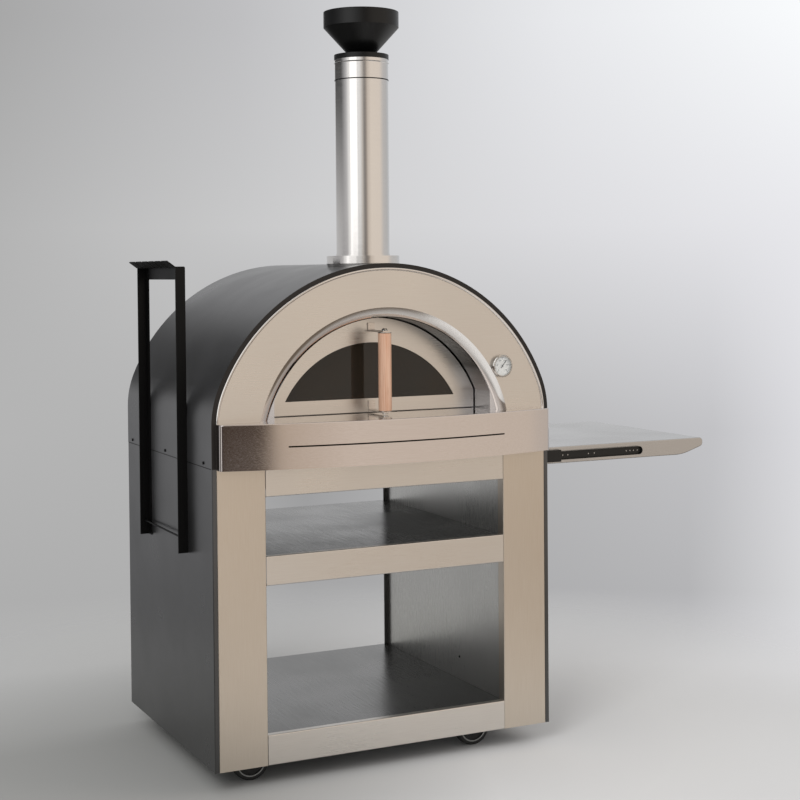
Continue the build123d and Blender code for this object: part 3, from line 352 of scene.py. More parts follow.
@dataclass(frozen=True)
class Beech(Finish):
    """Oiled beech, turned along its grain: fine lines with short dark flecks."""

    shade: str = "#b98468"
    line_mm: float = 2.4
    line_depth_mm: float = 0.05
    fleck: str = "#8f5c43"
    fleck_mm: float = 1.1

    def surface(self, tree: bpy.types.NodeTree) -> Any:
        """Grain lines that run up the grip, with flecks."""
        lines = noise(tree, self.line_mm, Grain.ALONG_Z, 4.0)
        fleck = noise(tree, self.fleck_mm, Grain.ALONG_Z)
        body = mixed(tree, spread(tree, lines, 0.0, 1.0, 0.32, 0.68), self.color, self.shade)
        marks = spread(tree, fleck, 0.0, 0.55, 0.62, 0.74)
        links = {
            "Base Color": mixed(tree, marks, body, self.fleck),
            "Roughness": spread(tree, lines, 0.36, 0.5),
            "Normal": bump(tree, lines, self.line_depth_mm),
            "Coat Weight": 0.15,
            "Coat Roughness": 0.3,
        }
        return add(tree, "BsdfPrincipled", links)


@dataclass(frozen=True)
class Glass(Finish):
    """Clear or smoked pane, which shows a dark oven behind its reflections."""

    clarity: float = 0.25
    roughness: float = 0.03
    shade: str = "#2b2823"
    haze_mm: float = 90.0

    def surface(self, tree: bpy.types.NodeTree) -> Any:
        """Tinted gloss with part of its surface see-through."""
        haze = noise(tree, self.haze_mm)
        links = {
            "Base Color": mixed(tree, spread(tree, haze, 0.0, 1.0, *NOISE_SPAN), self.color, self.shade),
            "Roughness": self.roughness,
            "Alpha": 1 - self.clarity,
        }
        return add(tree, "BsdfPrincipled", links)


@dataclass(frozen=True)
class Blanket(Finish):
    """Pale ceramic wool, felted from short fibres."""

    shade: str = "#c9c4b8"
    fibre_mm: float = 3.0
    fibre_depth_mm: float = 1.2

    def surface(self, tree: bpy.types.NodeTree) -> Any:
        """Soft fibres with a low sheen."""
        fibre = noise(tree, self.fibre_mm, Grain.ALONG_Y, 5.0)
        links = {
            "Base Color": mixed(tree, fibre, self.color, self.shade),
            "Roughness": 0.95,
            "Normal": bump(tree, fibre, self.fibre_depth_mm),
        }
        return add(tree, "BsdfPrincipled", links)


@dataclass(frozen=True)
class CastorTyre(Finish):
    """Black rubber tyre on a black hub, with a light ring moulded between them."""

    axle_x: float = 0.335
    trail: float = 0.036
    axle_z: float = 0.05
    ring_radius: float = 0.0385
    ring_half: float = 0.0016
    ring_color: str = "#9b9b98"
    worn: str = "#2b2b2b"
    scuff_mm: float = 6.0
    scuff_depth_mm: float = 0.08

    def surface(self, tree: bpy.types.NodeTree) -> Any:
        """Ring drawn by its distance from the axle, the same for a wheel on either side."""
        place = axes(tree)
        from_middle = math_node(tree, "ABSOLUTE", math_node(tree, "ADD", place.outputs["X"], self.trail))
        across = math_node(tree, "SUBTRACT", from_middle, self.axle_x)
        up = math_node(tree, "SUBTRACT", place.outputs["Z"], self.axle_z)
        across_square = math_node(tree, "MULTIPLY", across, across)
        square = math_node(tree, "ADD", across_square, math_node(tree, "MULTIPLY", up, up))
        reach = math_node(tree, "SQRT", square)
        off = math_node(tree, "ABSOLUTE", math_node(tree, "SUBTRACT", reach, self.ring_radius))
        on_ring = math_node(tree, "LESS_THAN", off, self.ring_half)
        scuff = noise(tree, self.scuff_mm, Grain.NONE, 4.0)
        rubber = mixed(tree, spread(tree, scuff, 0.0, 1.0, 0.4, 0.8), self.color, self.worn)
        links = {
            "Base Color": mixed(tree, on_ring, rubber, self.ring_color),
            "Roughness": spread(tree, scuff, 0.55, 0.72),
            "Normal": bump(tree, scuff, self.scuff_depth_mm),
        }
        return add(tree, "BsdfPrincipled", links)


@dataclass(frozen=True)
class Enamel(Finish):
    """Stoved enamel or ink on small parts, matt and even."""

    roughness: float = 0.5
    speck: str = "#808080"
    speck_mm: float = 0.8
    speck_share: float = 0.12

    def surface(self, tree: bpy.types.NodeTree) -> Any:
        """Even colour with a faint speckle."""
        specks = spread(tree, noise(tree, self.speck_mm), 0.0, self.speck_share, 0.4, 0.9)
        links = {
            "Base Color": mixed(tree, specks, self.color, self.speck),
            "Roughness": self.roughness,
        }
        return add(tree, "BsdfPrincipled", links)


# Each finish has its name and main colour first, and then its second colour and its roughness or
# clarity. The tones are given for the studio below: the steel of the shelves and of the side
# shelf is written darker there than bare stainless steel is.
FRONT_STEEL = BrushedSteel("brushed_steel_front", "#d9d4cd", "#d5cfc8", 0.32, Grain.ALONG_X)
COLUMN_STEEL = BrushedSteel("brushed_steel_columns", "#d3c9bc", "#cfc4b6", 0.34, Grain.ALONG_Z)
BAND_STEEL = LinedSteel("brushed_steel_band", "#d4cdca", "#cfc8c4", 0.09, Grain.ALONG_X, line_depth_mm=0.001)
RING_STEEL = BrushedSteel("polished_steel_ring", "#dedad6", "#d6d1cc", 0.13, Grain.NONE)
BRACKET_STEEL = BrushedSteel("brushed_steel_brackets", "#dad2ca", "#cfc6bd", 0.3, Grain.ALONG_X)
SHELVES_STEEL = BrushedSteel(
    "brushed_steel_shelves", "#70706f", "#6c6c6b", 0.28, Grain.ALONG_Y, line_depth_mm=0.0005
)
WALL_STEEL = BrushedSteel(
    "brushed_steel_lining", "#cfceca", "#c9c8c4", 0.3, Grain.ALONG_Z, line_depth_mm=0.0005
)
TUNNEL_STEEL = CeilingShadeSteel("steel_tunnel_painted_shade", "#d6d8de", "#c6c8ce", 0.24, Grain.ALONG_Y)
INNER_STEEL = BrushedSteel("brushed_steel_inner", "#b9b9b8", "#adadac", 0.3, Grain.ALONG_Y)
SHELF_STEEL = BrushedSteel("brushed_steel_side_shelf", "#bcbbba", "#b7b6b5", 0.24, Grain.ALONG_X)
CHIMNEY_STEEL = BrushedSteel(
    "polished_steel_chimney", "#dddad7", "#dad7d4", 0.12, Grain.AROUND_Z, line_depth_mm=0.001
)
BLACK_COAT = PowderCoat("powder_coat_black", "#090909", 0.3, "#303031", index=1.88, foot_z=0.4)
RACK_COAT = PowderCoat("powder_coat_rack", "#020202", 0.45, "#040404", index=1.3)
# The trim has the cover's own black coat. It is written darker here, as painted shade for the dim room that
# its front face reflects.
SHADED_TRIM_COAT = PowderCoat("powder_coat_trim_shaded", "#0e0b0a", 0.36, "#161210", index=1.45)
CAP_COAT = PowderCoat("powder_coat_cap", "#040404", 0.33, "#060606", index=1.4)
SLIDE_COAT = PowderCoat("black_zinc_slides", "#0a0a09", 0.34, "#10100e", index=1.45, peel_mm=1.2)
BRIGHT = PlainMetal("chromed_steel", "#d9d6d2", 0.12)
ZINC = PlainMetal("zinc_plated_steel", "#a5a6a6", 0.36)
REFRACTORY = Fired("cast_refractory", "#a39582")
HEARTH = Fired("hearth_stone", "#b5a58c", "#9a8a74")
WOOL = Blanket("ceramic_wool", "#dedacf")
WOOD = Beech("oiled_beech", "#dcb79d", "#c9977a")
PANE = Glass("smoked_ceramic_glass", "#30281f", 0.25)
LENS = Glass("dial_lens", "#f2f4f4", 0.88)
DIAL = Enamel("dial_enamel", "#e4e3df", 0.45)
INK = Enamel("black_ink", "#101010", 0.5)
TYRE = CastorTyre("black_rubber", "#151515")


# ---- Mesh helpers ----
def piece(
    name: str, mesh: bmesh.types.BMesh, finish: Finish, body: str, smooth: bool = False
) -> bpy.types.Object:
    """Turn a bmesh into a finished piece that rides on a body.

    Args:
        name: The piece's name.
        mesh: Its shape in the oven's frame; it is freed here.
        finish: Its finish.
        body: Body that it moves with.
        smooth: Whether its faces are shaded as one curved surface.

    Returns:
        The new object.
    """
    bmesh.ops.remove_doubles(mesh, verts=mesh.verts, dist=1e-6)
    bmesh.ops.recalc_face_normals(mesh, faces=mesh.faces)
    for face in mesh.faces:
        face.smooth = smooth
    data = bpy.data.meshes.new(name)
    mesh.to_mesh(data)
    mesh.free()
    made = bpy.data.objects.new(name, data)
    bpy.context.scene.collection.objects.link(made)
    data.materials.append(finish.material())
    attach(made, body)
    LOG.info("piece %s rides on %s", name, body)
    return made


def block(mesh: bmesh.types.BMesh, size: Point, place: Matrix) -> None:
    """Add a block.

    Args:
        mesh: The bmesh that gets it.
        size: Its lengths along its own axes.
        place: Its centre and turn.
    """
    bmesh.ops.create_cube(mesh, size=1.0, matrix=place @ Matrix.Diagonal((*size, 1.0)))


def drum(mesh: bmesh.types.BMesh, radii: Span, depth: float, place: Matrix, sides: int) -> None:
    """Add a closed cone or cylinder along its own Z.

    Args:
        mesh: The bmesh that gets it.
        radii: Its radii at the lower and the upper end.
        depth: Its length.
        place: Its centre and turn.
        sides: How many sides it has.
    """
    bmesh.ops.create_cone(
        mesh,
        cap_ends=True,
        segments=sides,
        radius1=radii[0],
        radius2=radii[1],
        depth=depth,
        matrix=place,
    )


def skin(mesh: bmesh.types.BMesh, rings: Sequence[Sequence[Vector]], closed: bool = False) -> None:
    """Add a skin over rings of points.

    Args:
        mesh: The bmesh that gets it.
        rings: Rings in order along a path, with as many points each.
        closed: Whether the last ring joins the first.
    """
    made = [[mesh.verts.new(point) for point in ring] for ring in rings]
    following = made[1:] + made[:1] if closed else made[1:]
    for one, two in zip(made, following):
        for index in range(len(one)):
            mesh.faces.new((one[index - 1], one[index], two[index], two[index - 1]))


def turned(ring: Sequence[Vector], centre: Sequence[float], axis: str, angle: float) -> List[Vector]:
    """Turn a ring of points.

    Args:
        ring: The points.
        centre: Point that they turn about.
        axis: "X", "Y" or "Z".
        angle: How far they turn, in radians.

    Returns:
        The turned points.
    """
    there = Matrix.Translation(centre)
    turn = there @ Matrix.Rotation(angle, 4, axis) @ there.inverted()
    return [turn @ point for point in ring]


def toward(axis: Point, at: Sequence[float]) -> Matrix:
    """Place at a point, turned so that its own Z looks along an axis."""
    turn = Vector(axis).to_track_quat("Z", "Y").to_matrix().to_4x4()
    return Matrix.Translation(Vector(at)) @ turn


def middle(node: str) -> Vector:
    """Middle of a CAD node's box."""
    low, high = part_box(node)
    return (low + high) / 2


@dataclass
class Assembly:
    """A sub-assembly: the finish of each of its CAD nodes, and the small pieces that it adds."""

    finishes: Dict[str, Finish] = field(default_factory=dict)

    def dress(self) -> None:
        """Give each CAD node its finish."""
        for node, finish in self.finishes.items():
            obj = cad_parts[node]
            obj.data.materials.clear()
            obj.data.materials.append(finish.material())
            LOG.info("node %s is %s", node, finish.name)

    def build(self) -> None:
        """Add the sub-assembly's own pieces, where it has some."""


@dataclass
class Cabinet(Assembly):
    """Open cabinet: painted sides, brushed front frame and grey steel lining."""

    finishes: Dict[str, Finish] = field(
        default_factory=lambda: {
            "side_panel_left": BLACK_COAT,
            "side_panel_right": BLACK_COAT,
            "front_column_left": COLUMN_STEEL,
            "front_column_right": COLUMN_STEEL,
            "bottom_rail": FRONT_STEEL,
            "middle_rail": FRONT_STEEL,
            "top_rail": FRONT_STEEL,
            "inner_wall_left": WALL_STEEL,
            "inner_wall_right": WALL_STEEL,
            "back_columns": BLACK_COAT,
            "lower_shelf": SHELVES_STEEL,
            "middle_shelf": SHELVES_STEEL,
            "base_frame": RACK_COAT,
            "pocket_floor": ZINC,
            "deck_plate": ZINC,
        }
    )
    screw_radius: float = 0.004
    screw_taper: float = 0.7
    screw_height: float = 0.0018
    screw_y: float = -0.115
    screw_rises: Tuple[float, ...] = (0.068, 0.43)

    def build(self) -> None:
        """Pan head screws that hold the lining of the bays to the columns."""
        for side, node in ((1, "inner_wall_right"), (-1, "inner_wall_left")):
            low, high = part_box(node)
            face_x = low.x if side > 0 else high.x
            mesh = bmesh.new()
            for rise in self.screw_rises:
                at = (face_x - side * self.screw_height / 2, self.screw_y, low.z + rise)
                place = toward((-side, 0, 0), at)
                radii = (self.screw_radius, self.screw_radius * self.screw_taper)
                drum(mesh, radii, self.screw_height, place, SCREW_SIDES)
            piece(f"bay_screws_{'right' if side > 0 else 'left'}", mesh, RACK_COAT, "oven")


@dataclass
class OvenShell(Assembly):
    """Arched oven: painted cover and trim, brushed front, mouth ring, lining and landing shelf."""

    finishes: Dict[str, Finish] = field(
        default_factory=lambda: {
            "dome_cover": BLACK_COAT,
            "dome_trim": SHADED_TRIM_COAT,
            "back_panel": BLACK_COAT,
            "arch_front": FRONT_STEEL,
            "mouth_ring": RING_STEEL,
            "mouth_liner": TUNNEL_STEEL,
            "inner_vault": REFRACTORY,
            "dome_insulation": WOOL,
            "floor_insulation": WOOL,
            "floor_tiles": HEARTH,
            "landing_shelf": BAND_STEEL,
        }
    )
    bead_radius: float = 0.004
    bead_inset: float = 0.0155
    bead_sides: int = 12
    haunch_radius: float = 0.25
    haunch_lean: float = 22.2
    haunch_steps: int = 8
    crown_steps: int = 64
    shade_band_size: Point = (0.0012, 0.75, 0.0022)
    shade_band_proud: float = 0.0002

    def build(self) -> None:
        """Rolled bright rim and dark strips in the seams, as painted shade."""
        self.add_rim()
        self.add_seam_shade()

    def add_rim(self) -> None:
        """Bright bead round the arched front: straight feet, two haunches and a crown."""
        face_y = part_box("arch_front")[0].y
        cover_low, cover_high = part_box("dome_cover")
        reach = cover_high.x - self.bead_inset
        haunch_x = cover_high.x - self.haunch_radius
        haunch_rise = haunch_x / math.tan(math.radians(90 - self.haunch_lean))
        crown_radius = self.haunch_radius + math.hypot(haunch_x, haunch_rise)
        crown_z = cover_high.z - crown_radius
        haunch_z = crown_z + haunch_rise
        straight = Vector((0, 0, haunch_z - cover_low.z))
        foot = Vector((-reach, face_y, cover_low.z))
        sides = [math.tau * index / self.bead_sides for index in range(self.bead_sides)]
        circle = [foot + self.bead_radius * Vector((math.cos(side), math.sin(side), 0)) for side in sides]
        rings = [circle, [point + straight for point in circle]]
        for centre, degrees, steps in (
            ((-haunch_x, face_y, haunch_z), self.haunch_lean, self.haunch_steps),
            ((0.0, face_y, crown_z), 180 - 2 * self.haunch_lean, self.crown_steps),
            ((haunch_x, face_y, haunch_z), self.haunch_lean, self.haunch_steps),
        ):
            for _ in range(steps):
                rings.append(turned(rings[-1], centre, "Y", math.radians(degrees) / steps))
        rings.append([point - straight for point in rings[-1]])
        mesh = bmesh.new()
        skin(mesh, rings)
        piece("front_rim_bead", mesh, RING_STEEL, "oven", smooth=True)

    def add_seam_shade(self) -> None:
        """Dark strip in the seam under the cover, on both sides: painted shade for the shadow line under the
        cover's edge.
        """
        low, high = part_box("dome_cover")
        mesh = bmesh.new()
        # Painted shade: black strips stand for the shadow line that the cover's edge casts.
        for sign in (-1, 1):
            x = sign * (high.x + self.shade_band_proud - self.shade_band_size[0] / 2)
            block(mesh, self.shade_band_size, Matrix.Translation((x, (low.y + high.y) / 2, low.z)))
        piece("seam_shade_strips", mesh, RACK_COAT, "oven")


@dataclass
class Door(Assembly):
    """Lift-off door with a smoked window and a beech grip between two bright arms."""

    finishes: Dict[str, Finish] = field(
        default_factory=lambda: {
            "door_front": FRONT_STEEL,
            "door_back": INNER_STEEL,
            "door_glass": PANE,
            "handle_grip": WOOD,
            "handle_bracket": BRACKET_STEEL,
            "handle_rod": BRIGHT,
        }
    )
    nut_radius: float = 0.0068
    nut_height: float = 0.004
    nut_rise: float = 0.0052

    def build(self) -> None:
        """Hex flats under the domed nut."""
        low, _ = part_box("handle_rod")
        at = middle("handle_rod")
        mesh = bmesh.new()
        place = Matrix.Translation((at.x, at.y, low.z + self.nut_rise))
        drum(mesh, (self.nut_radius, self.nut_radius), self.nut_height, place, HEX_SIDES)
        piece("handle_lock_nut", mesh, BRIGHT, "door")


@dataclass
class Thermometer(Assembly):
    """Dial thermometer: bright case, white dial with printed marks, black needle and a clear lens."""

    finishes: Dict[str, Finish] = field(
        default_factory=lambda: {
            "thermometer_case": BRIGHT,
            "thermometer_dial": DIAL,
            "thermometer_needle": INK,
            "thermometer_lens": LENS,
        }
    )
    marks: int = 51
    major_every: int = 5
    numbers: int = 6
    hundred: int = 100
    start_degrees: float = 225.0
    sweep_degrees: float = 270.0
    outer_radius: float = 0.0245
    major_length: float = 0.0042
    major_width: float = 0.0008
    minor_length: float = 0.0024
    minor_width: float = 0.0004
    print_height: float = 0.00012
    number_size: float = 0.0052
    number_radius: float = 0.0165

    def angle(self, share: float) -> float:
        """Angle of a share of the scale, counterclockwise from the right as seen from the front."""
        return math.radians(self.start_degrees - share * self.sweep_degrees)

    def spot(self, angle: float, radius: float) -> Vector:
        """Point in the middle of the print's height, at an angle and a radius on the dial."""
        centre = middle("thermometer_dial")
        face_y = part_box("thermometer_dial")[0].y - self.print_height / 2
        return Vector((centre.x + radius * math.cos(angle), face_y, centre.z + radius * math.sin(angle)))

    def add_number(self, mesh: bmesh.types.BMesh, text: str, at: Vector) -> None:
        """Add a printed number, centred on a point and read from the front.

        Args:
            mesh: The bmesh that gets it.
            text: The number as it is printed.
            at: Its middle.
        """
        curve = bpy.data.curves.new("number", "FONT")
        curve.body = text
        curve.size = self.number_size
        curve.align_x = "CENTER"
        curve.align_y = "CENTER"
        curve.extrude = self.print_height / 2
        holder = bpy.data.objects.new("number", curve)
        bpy.context.scene.collection.objects.link(holder)
        bpy.context.view_layer.update()
        evaluated = holder.evaluated_get(bpy.context.evaluated_depsgraph_get())
        data = bpy.data.meshes.new_from_object(evaluated)
        data.transform(Matrix.Translation(at) @ Matrix.Rotation(math.pi / 2, 4, "X"))
        mesh.from_mesh(data)
        bpy.data.objects.remove(holder)
        bpy.data.curves.remove(curve)
        bpy.data.meshes.remove(data)

    def build(self) -> None:
        """Scale marks and plain numbers in hundreds of degrees."""
        mesh = bmesh.new()
        for index in range(self.marks):
            angle = self.angle(index / (self.marks - 1))
            major = index % self.major_every == 0
            length = self.major_length if major else self.minor_length
            width = self.major_width if major else self.minor_width
            place = Matrix.Translation(self.spot(angle, self.outer_radius - length / 2))
            block(mesh, (length, self.print_height, width), place @ Matrix.Rotation(-angle, 4, "Y"))
        piece("dial_marks", mesh, INK, "oven")
        mesh = bmesh.new()
        for index in range(self.numbers):
            at = self.spot(self.angle(index / (self.numbers - 1)), self.number_radius)
            self.add_number(mesh, str(index * self.hundred), at)
        piece("dial_numbers", mesh, INK, "oven")


@dataclass
class Chimney(Assembly):
    """Bright flue pipe in a square shouldered collar, with a black cowl on top."""

    finishes: Dict[str, Finish] = field(
        default_factory=lambda: {
            "flue_collar": CHIMNEY_STEEL,
            "inner_flue": CHIMNEY_STEEL,
            "chimney_pipe": CHIMNEY_STEEL,
            "chimney_sleeve": CHIMNEY_STEEL,
            "chimney_cap": CAP_COAT,
        }
    )
    shade_band_length: float = 0.0028
    shade_band_proud: float = 0.0008
    shade_band_sides: int = 96

    def build(self) -> None:
        """Dark ring where the sleeve ends on the pipe: painted shade for the gap under the sleeve's edge."""
        low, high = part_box("chimney_pipe")
        sleeve_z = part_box("chimney_sleeve")[0].z
        at = middle("chimney_pipe")
        pipe_radius = (high.x - low.x) / 2
        inner, outer = pipe_radius, pipe_radius + self.shade_band_proud
        foot_z = sleeve_z - self.shade_band_length
        section = ((inner, sleeve_z), (outer, sleeve_z), (outer, foot_z), (inner, foot_z))
        profile = [Vector((at.x + radius, at.y, z)) for radius, z in section]
        turns = [math.tau * index / self.shade_band_sides for index in range(self.shade_band_sides)]
        # Painted shade: a black ring stands for the dark gap under the sleeve's edge.
        mesh = bmesh.new()
        skin(mesh, [turned(profile, at, "Z", angle) for angle in turns], closed=True)
        piece("sleeve_shade_ring", mesh, RACK_COAT, "oven")


@dataclass
class ToolRack(Assembly):
    """Black angle posts with a comb for tools, and the fasteners of the body."""

    finishes: Dict[str, Finish] = field(
        default_factory=lambda: {
            "rack_post_front": RACK_COAT,
            "rack_post_back": RACK_COAT,
            "rack_comb": RACK_COAT,
            "rack_rod": RACK_COAT,
            "body_screws": RACK_COAT,
        }
    )
    recess_length: float = 0.0042
    recess_width: float = 0.0009
    recess_proud: float = 0.0001
    seam_rise: float = 0.011
    seam_places: Tuple[float, ...] = (-0.315, 0.013, 0.332)

    def build(self) -> None:
        """Cross recesses in the heads of the seam screws."""
        _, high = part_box("body_screws")
        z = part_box("deck_plate")[0].z + self.seam_rise
        level = (self.recess_proud, self.recess_length, self.recess_width)
        upright = (self.recess_proud, self.recess_width, self.recess_length)
        mesh = bmesh.new()
        for sign in (-1, 1):
            x = sign * (high.x + self.recess_proud / 2)
            for y in self.seam_places:
                for size in (level, upright):
                    block(mesh, size, Matrix.Translation((x, y, z)))
        piece("screw_recesses", mesh, INK, "oven")


@dataclass
class SideShelf(Assembly):
    """Pull-out shelf on two telescopic slides."""

    finishes: Dict[str, Finish] = field(
        default_factory=lambda: {
            "side_shelf": SHELF_STEEL,
            "slide_outer_members": SLIDE_COAT,
            "slide_middle_members": SLIDE_COAT,
            "slide_inner_members": SLIDE_COAT,
            "slide_brackets": ZINC,
        }
    )


@dataclass
class Castors(Assembly):
    """Four swivel castors: zinc plated plates and forks, black rubber wheels with a light ring."""

    nut_radius: float = 0.0085
    nut_height: float = 0.0022

    def __post_init__(self) -> None:
        """Name the nodes of each castor."""
        self.places: List[str] = [f"{end}_{side}" for end in ("front", "back") for side in ("left", "right")]
        self.finishes["castor_plates"] = ZINC
        for place in self.places:
            self.finishes[f"castor_fork_{place}"] = ZINC
            self.finishes[f"castor_wheel_{place}"] = TYRE

    def build(self) -> None:
        """Hex nuts on both ends of each axle."""
        for place in self.places:
            at = middle(f"castor_wheel_{place}")
            low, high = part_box(f"castor_fork_{place}")
            mesh = bmesh.new()
            for sign, end_y in ((-1, low.y), (1, high.y)):
                y = end_y - sign * self.nut_height / 2
                place_nut = toward((0, sign, 0), (at.x, y, at.z))
                drum(mesh, (self.nut_radius, self.nut_radius), self.nut_height, place_nut, HEX_SIDES)
            piece(f"axle_nuts_{place}", mesh, ZINC, f"swivel_{place}")


# ---- Studio ----
# All tones here are listed one by one.
# Reflected room by bearing from the oven's front: 0 and 1 are behind it, its left is under 0.5 and
# its right over it. The first row lies above the horizon, the second from there down, and the third
# is the floor near the oven.
ROOM_HIGH: Tones = (
    (0.0, "#cdcdcf"), (0.10, "#cacacb"), (0.18, "#c4c4c6"), (0.24, "#d0d0d2"), (0.262, "#ffffff"),
    (0.405, "#ffffff"), (0.435, "#d8d2cc"), (0.46, "#8f8b88"), (0.478, "#a59c94"), (0.50, "#ddd2c7"),
    (0.54, "#f3e8dc"), (0.66, "#f1e6db"), (0.72, "#d2d0cf"), (0.79, "#c9c9ca"), (0.85, "#cdd0d4"),
    (0.93, "#dededf"), (1.0, "#cdcdcf"),
)
ROOM_LOW: Tones = (
    (0.0, "#98989a"), (0.08, "#c8c8ca"), (0.15, "#bcbcbe"), (0.19, "#6f6863"), (0.258, "#6f6863"),
    (0.27, "#ffffff"), (0.305, "#ffffff"), (0.32, "#5d514b"), (0.40, "#4a403b"), (0.487, "#54483f"),
    (0.497, "#d2c2b1"), (0.54, "#e9dccf"), (0.66, "#e4d8cb"), (0.70, "#b9b9bb"), (0.79, "#f2f2f2"),
    (0.85, "#c8c6c5"), (0.92, "#aaaaab"), (1.0, "#98989a"),
)
ROOM_FLOOR: Tones = (
    (0.0, "#464644"), (0.17, "#464644"), (0.28, "#5d5650"), (0.40, "#6a625b"), (0.445, "#ffffff"),
    (0.54, "#ffffff"), (0.56, "#75695d"), (0.67, "#75695d"), (0.73, "#b8b4b0"), (0.80, "#f4f3f2"),
    (0.88, "#a0a0a0"), (1.0, "#464644"),
)
# Seen background: tones from left to right at rising heights, darker to the left and brighter to
# the right and just over the floor. These tones paint the studio's light and shade on the backdrop,
# and the darker stretch near 0.38, seen only through the bays, is painted shade behind the oven.
BACKDROP: Tuple[Tuple[float, Tones], ...] = (
    (-0.29, ((0.0, "#929290"), (0.3, "#8e8e8c"), (0.65, "#c0c0c0"), (1.0, "#ccccce"))),
    (-0.267, ((0.0, "#9f9f9d"), (0.5, "#969695"), (0.7, "#9a9a9a"), (0.8, "#b6b6b7"), (1.0, "#c8c8ca"))),
    (
        -0.244,
        (
            (0.0, "#b3b3b3"), (0.22, "#b5b5b5"), (0.38, "#adadae"), (0.52, "#bababa"), (0.8, "#c2c2c4"),
            (1.0, "#dadadd"),
        ),
    ),
    (
        -0.20,
        (
            (0.0, "#aeaeae"), (0.22, "#afafaf"), (0.38, "#a4a4a5"), (0.5, "#a8a8a9"), (0.85, "#b4b4b6"),
            (1.0, "#d8d8da"),
        ),
    ),
    (
        -0.10,
        (
            (0.0, "#b4b4b4"), (0.22, "#b4b4b4"), (0.38, "#989899"), (0.52, "#b5b5b6"), (0.65, "#b6b6b7"),
            (0.88, "#c2c2c5"), (1.0, "#dcdce0"),
        ),
    ),
    (0.03, ((0.0, "#b3b3b3"), (0.4, "#cececf"), (0.7, "#dcdcdf"), (1.0, "#e8e8ec"))),
    (0.16, ((0.0, "#a6a6a6"), (0.3, "#bebec0"), (0.7, "#e8e9ec"), (1.0, "#fafcfe"))),
)


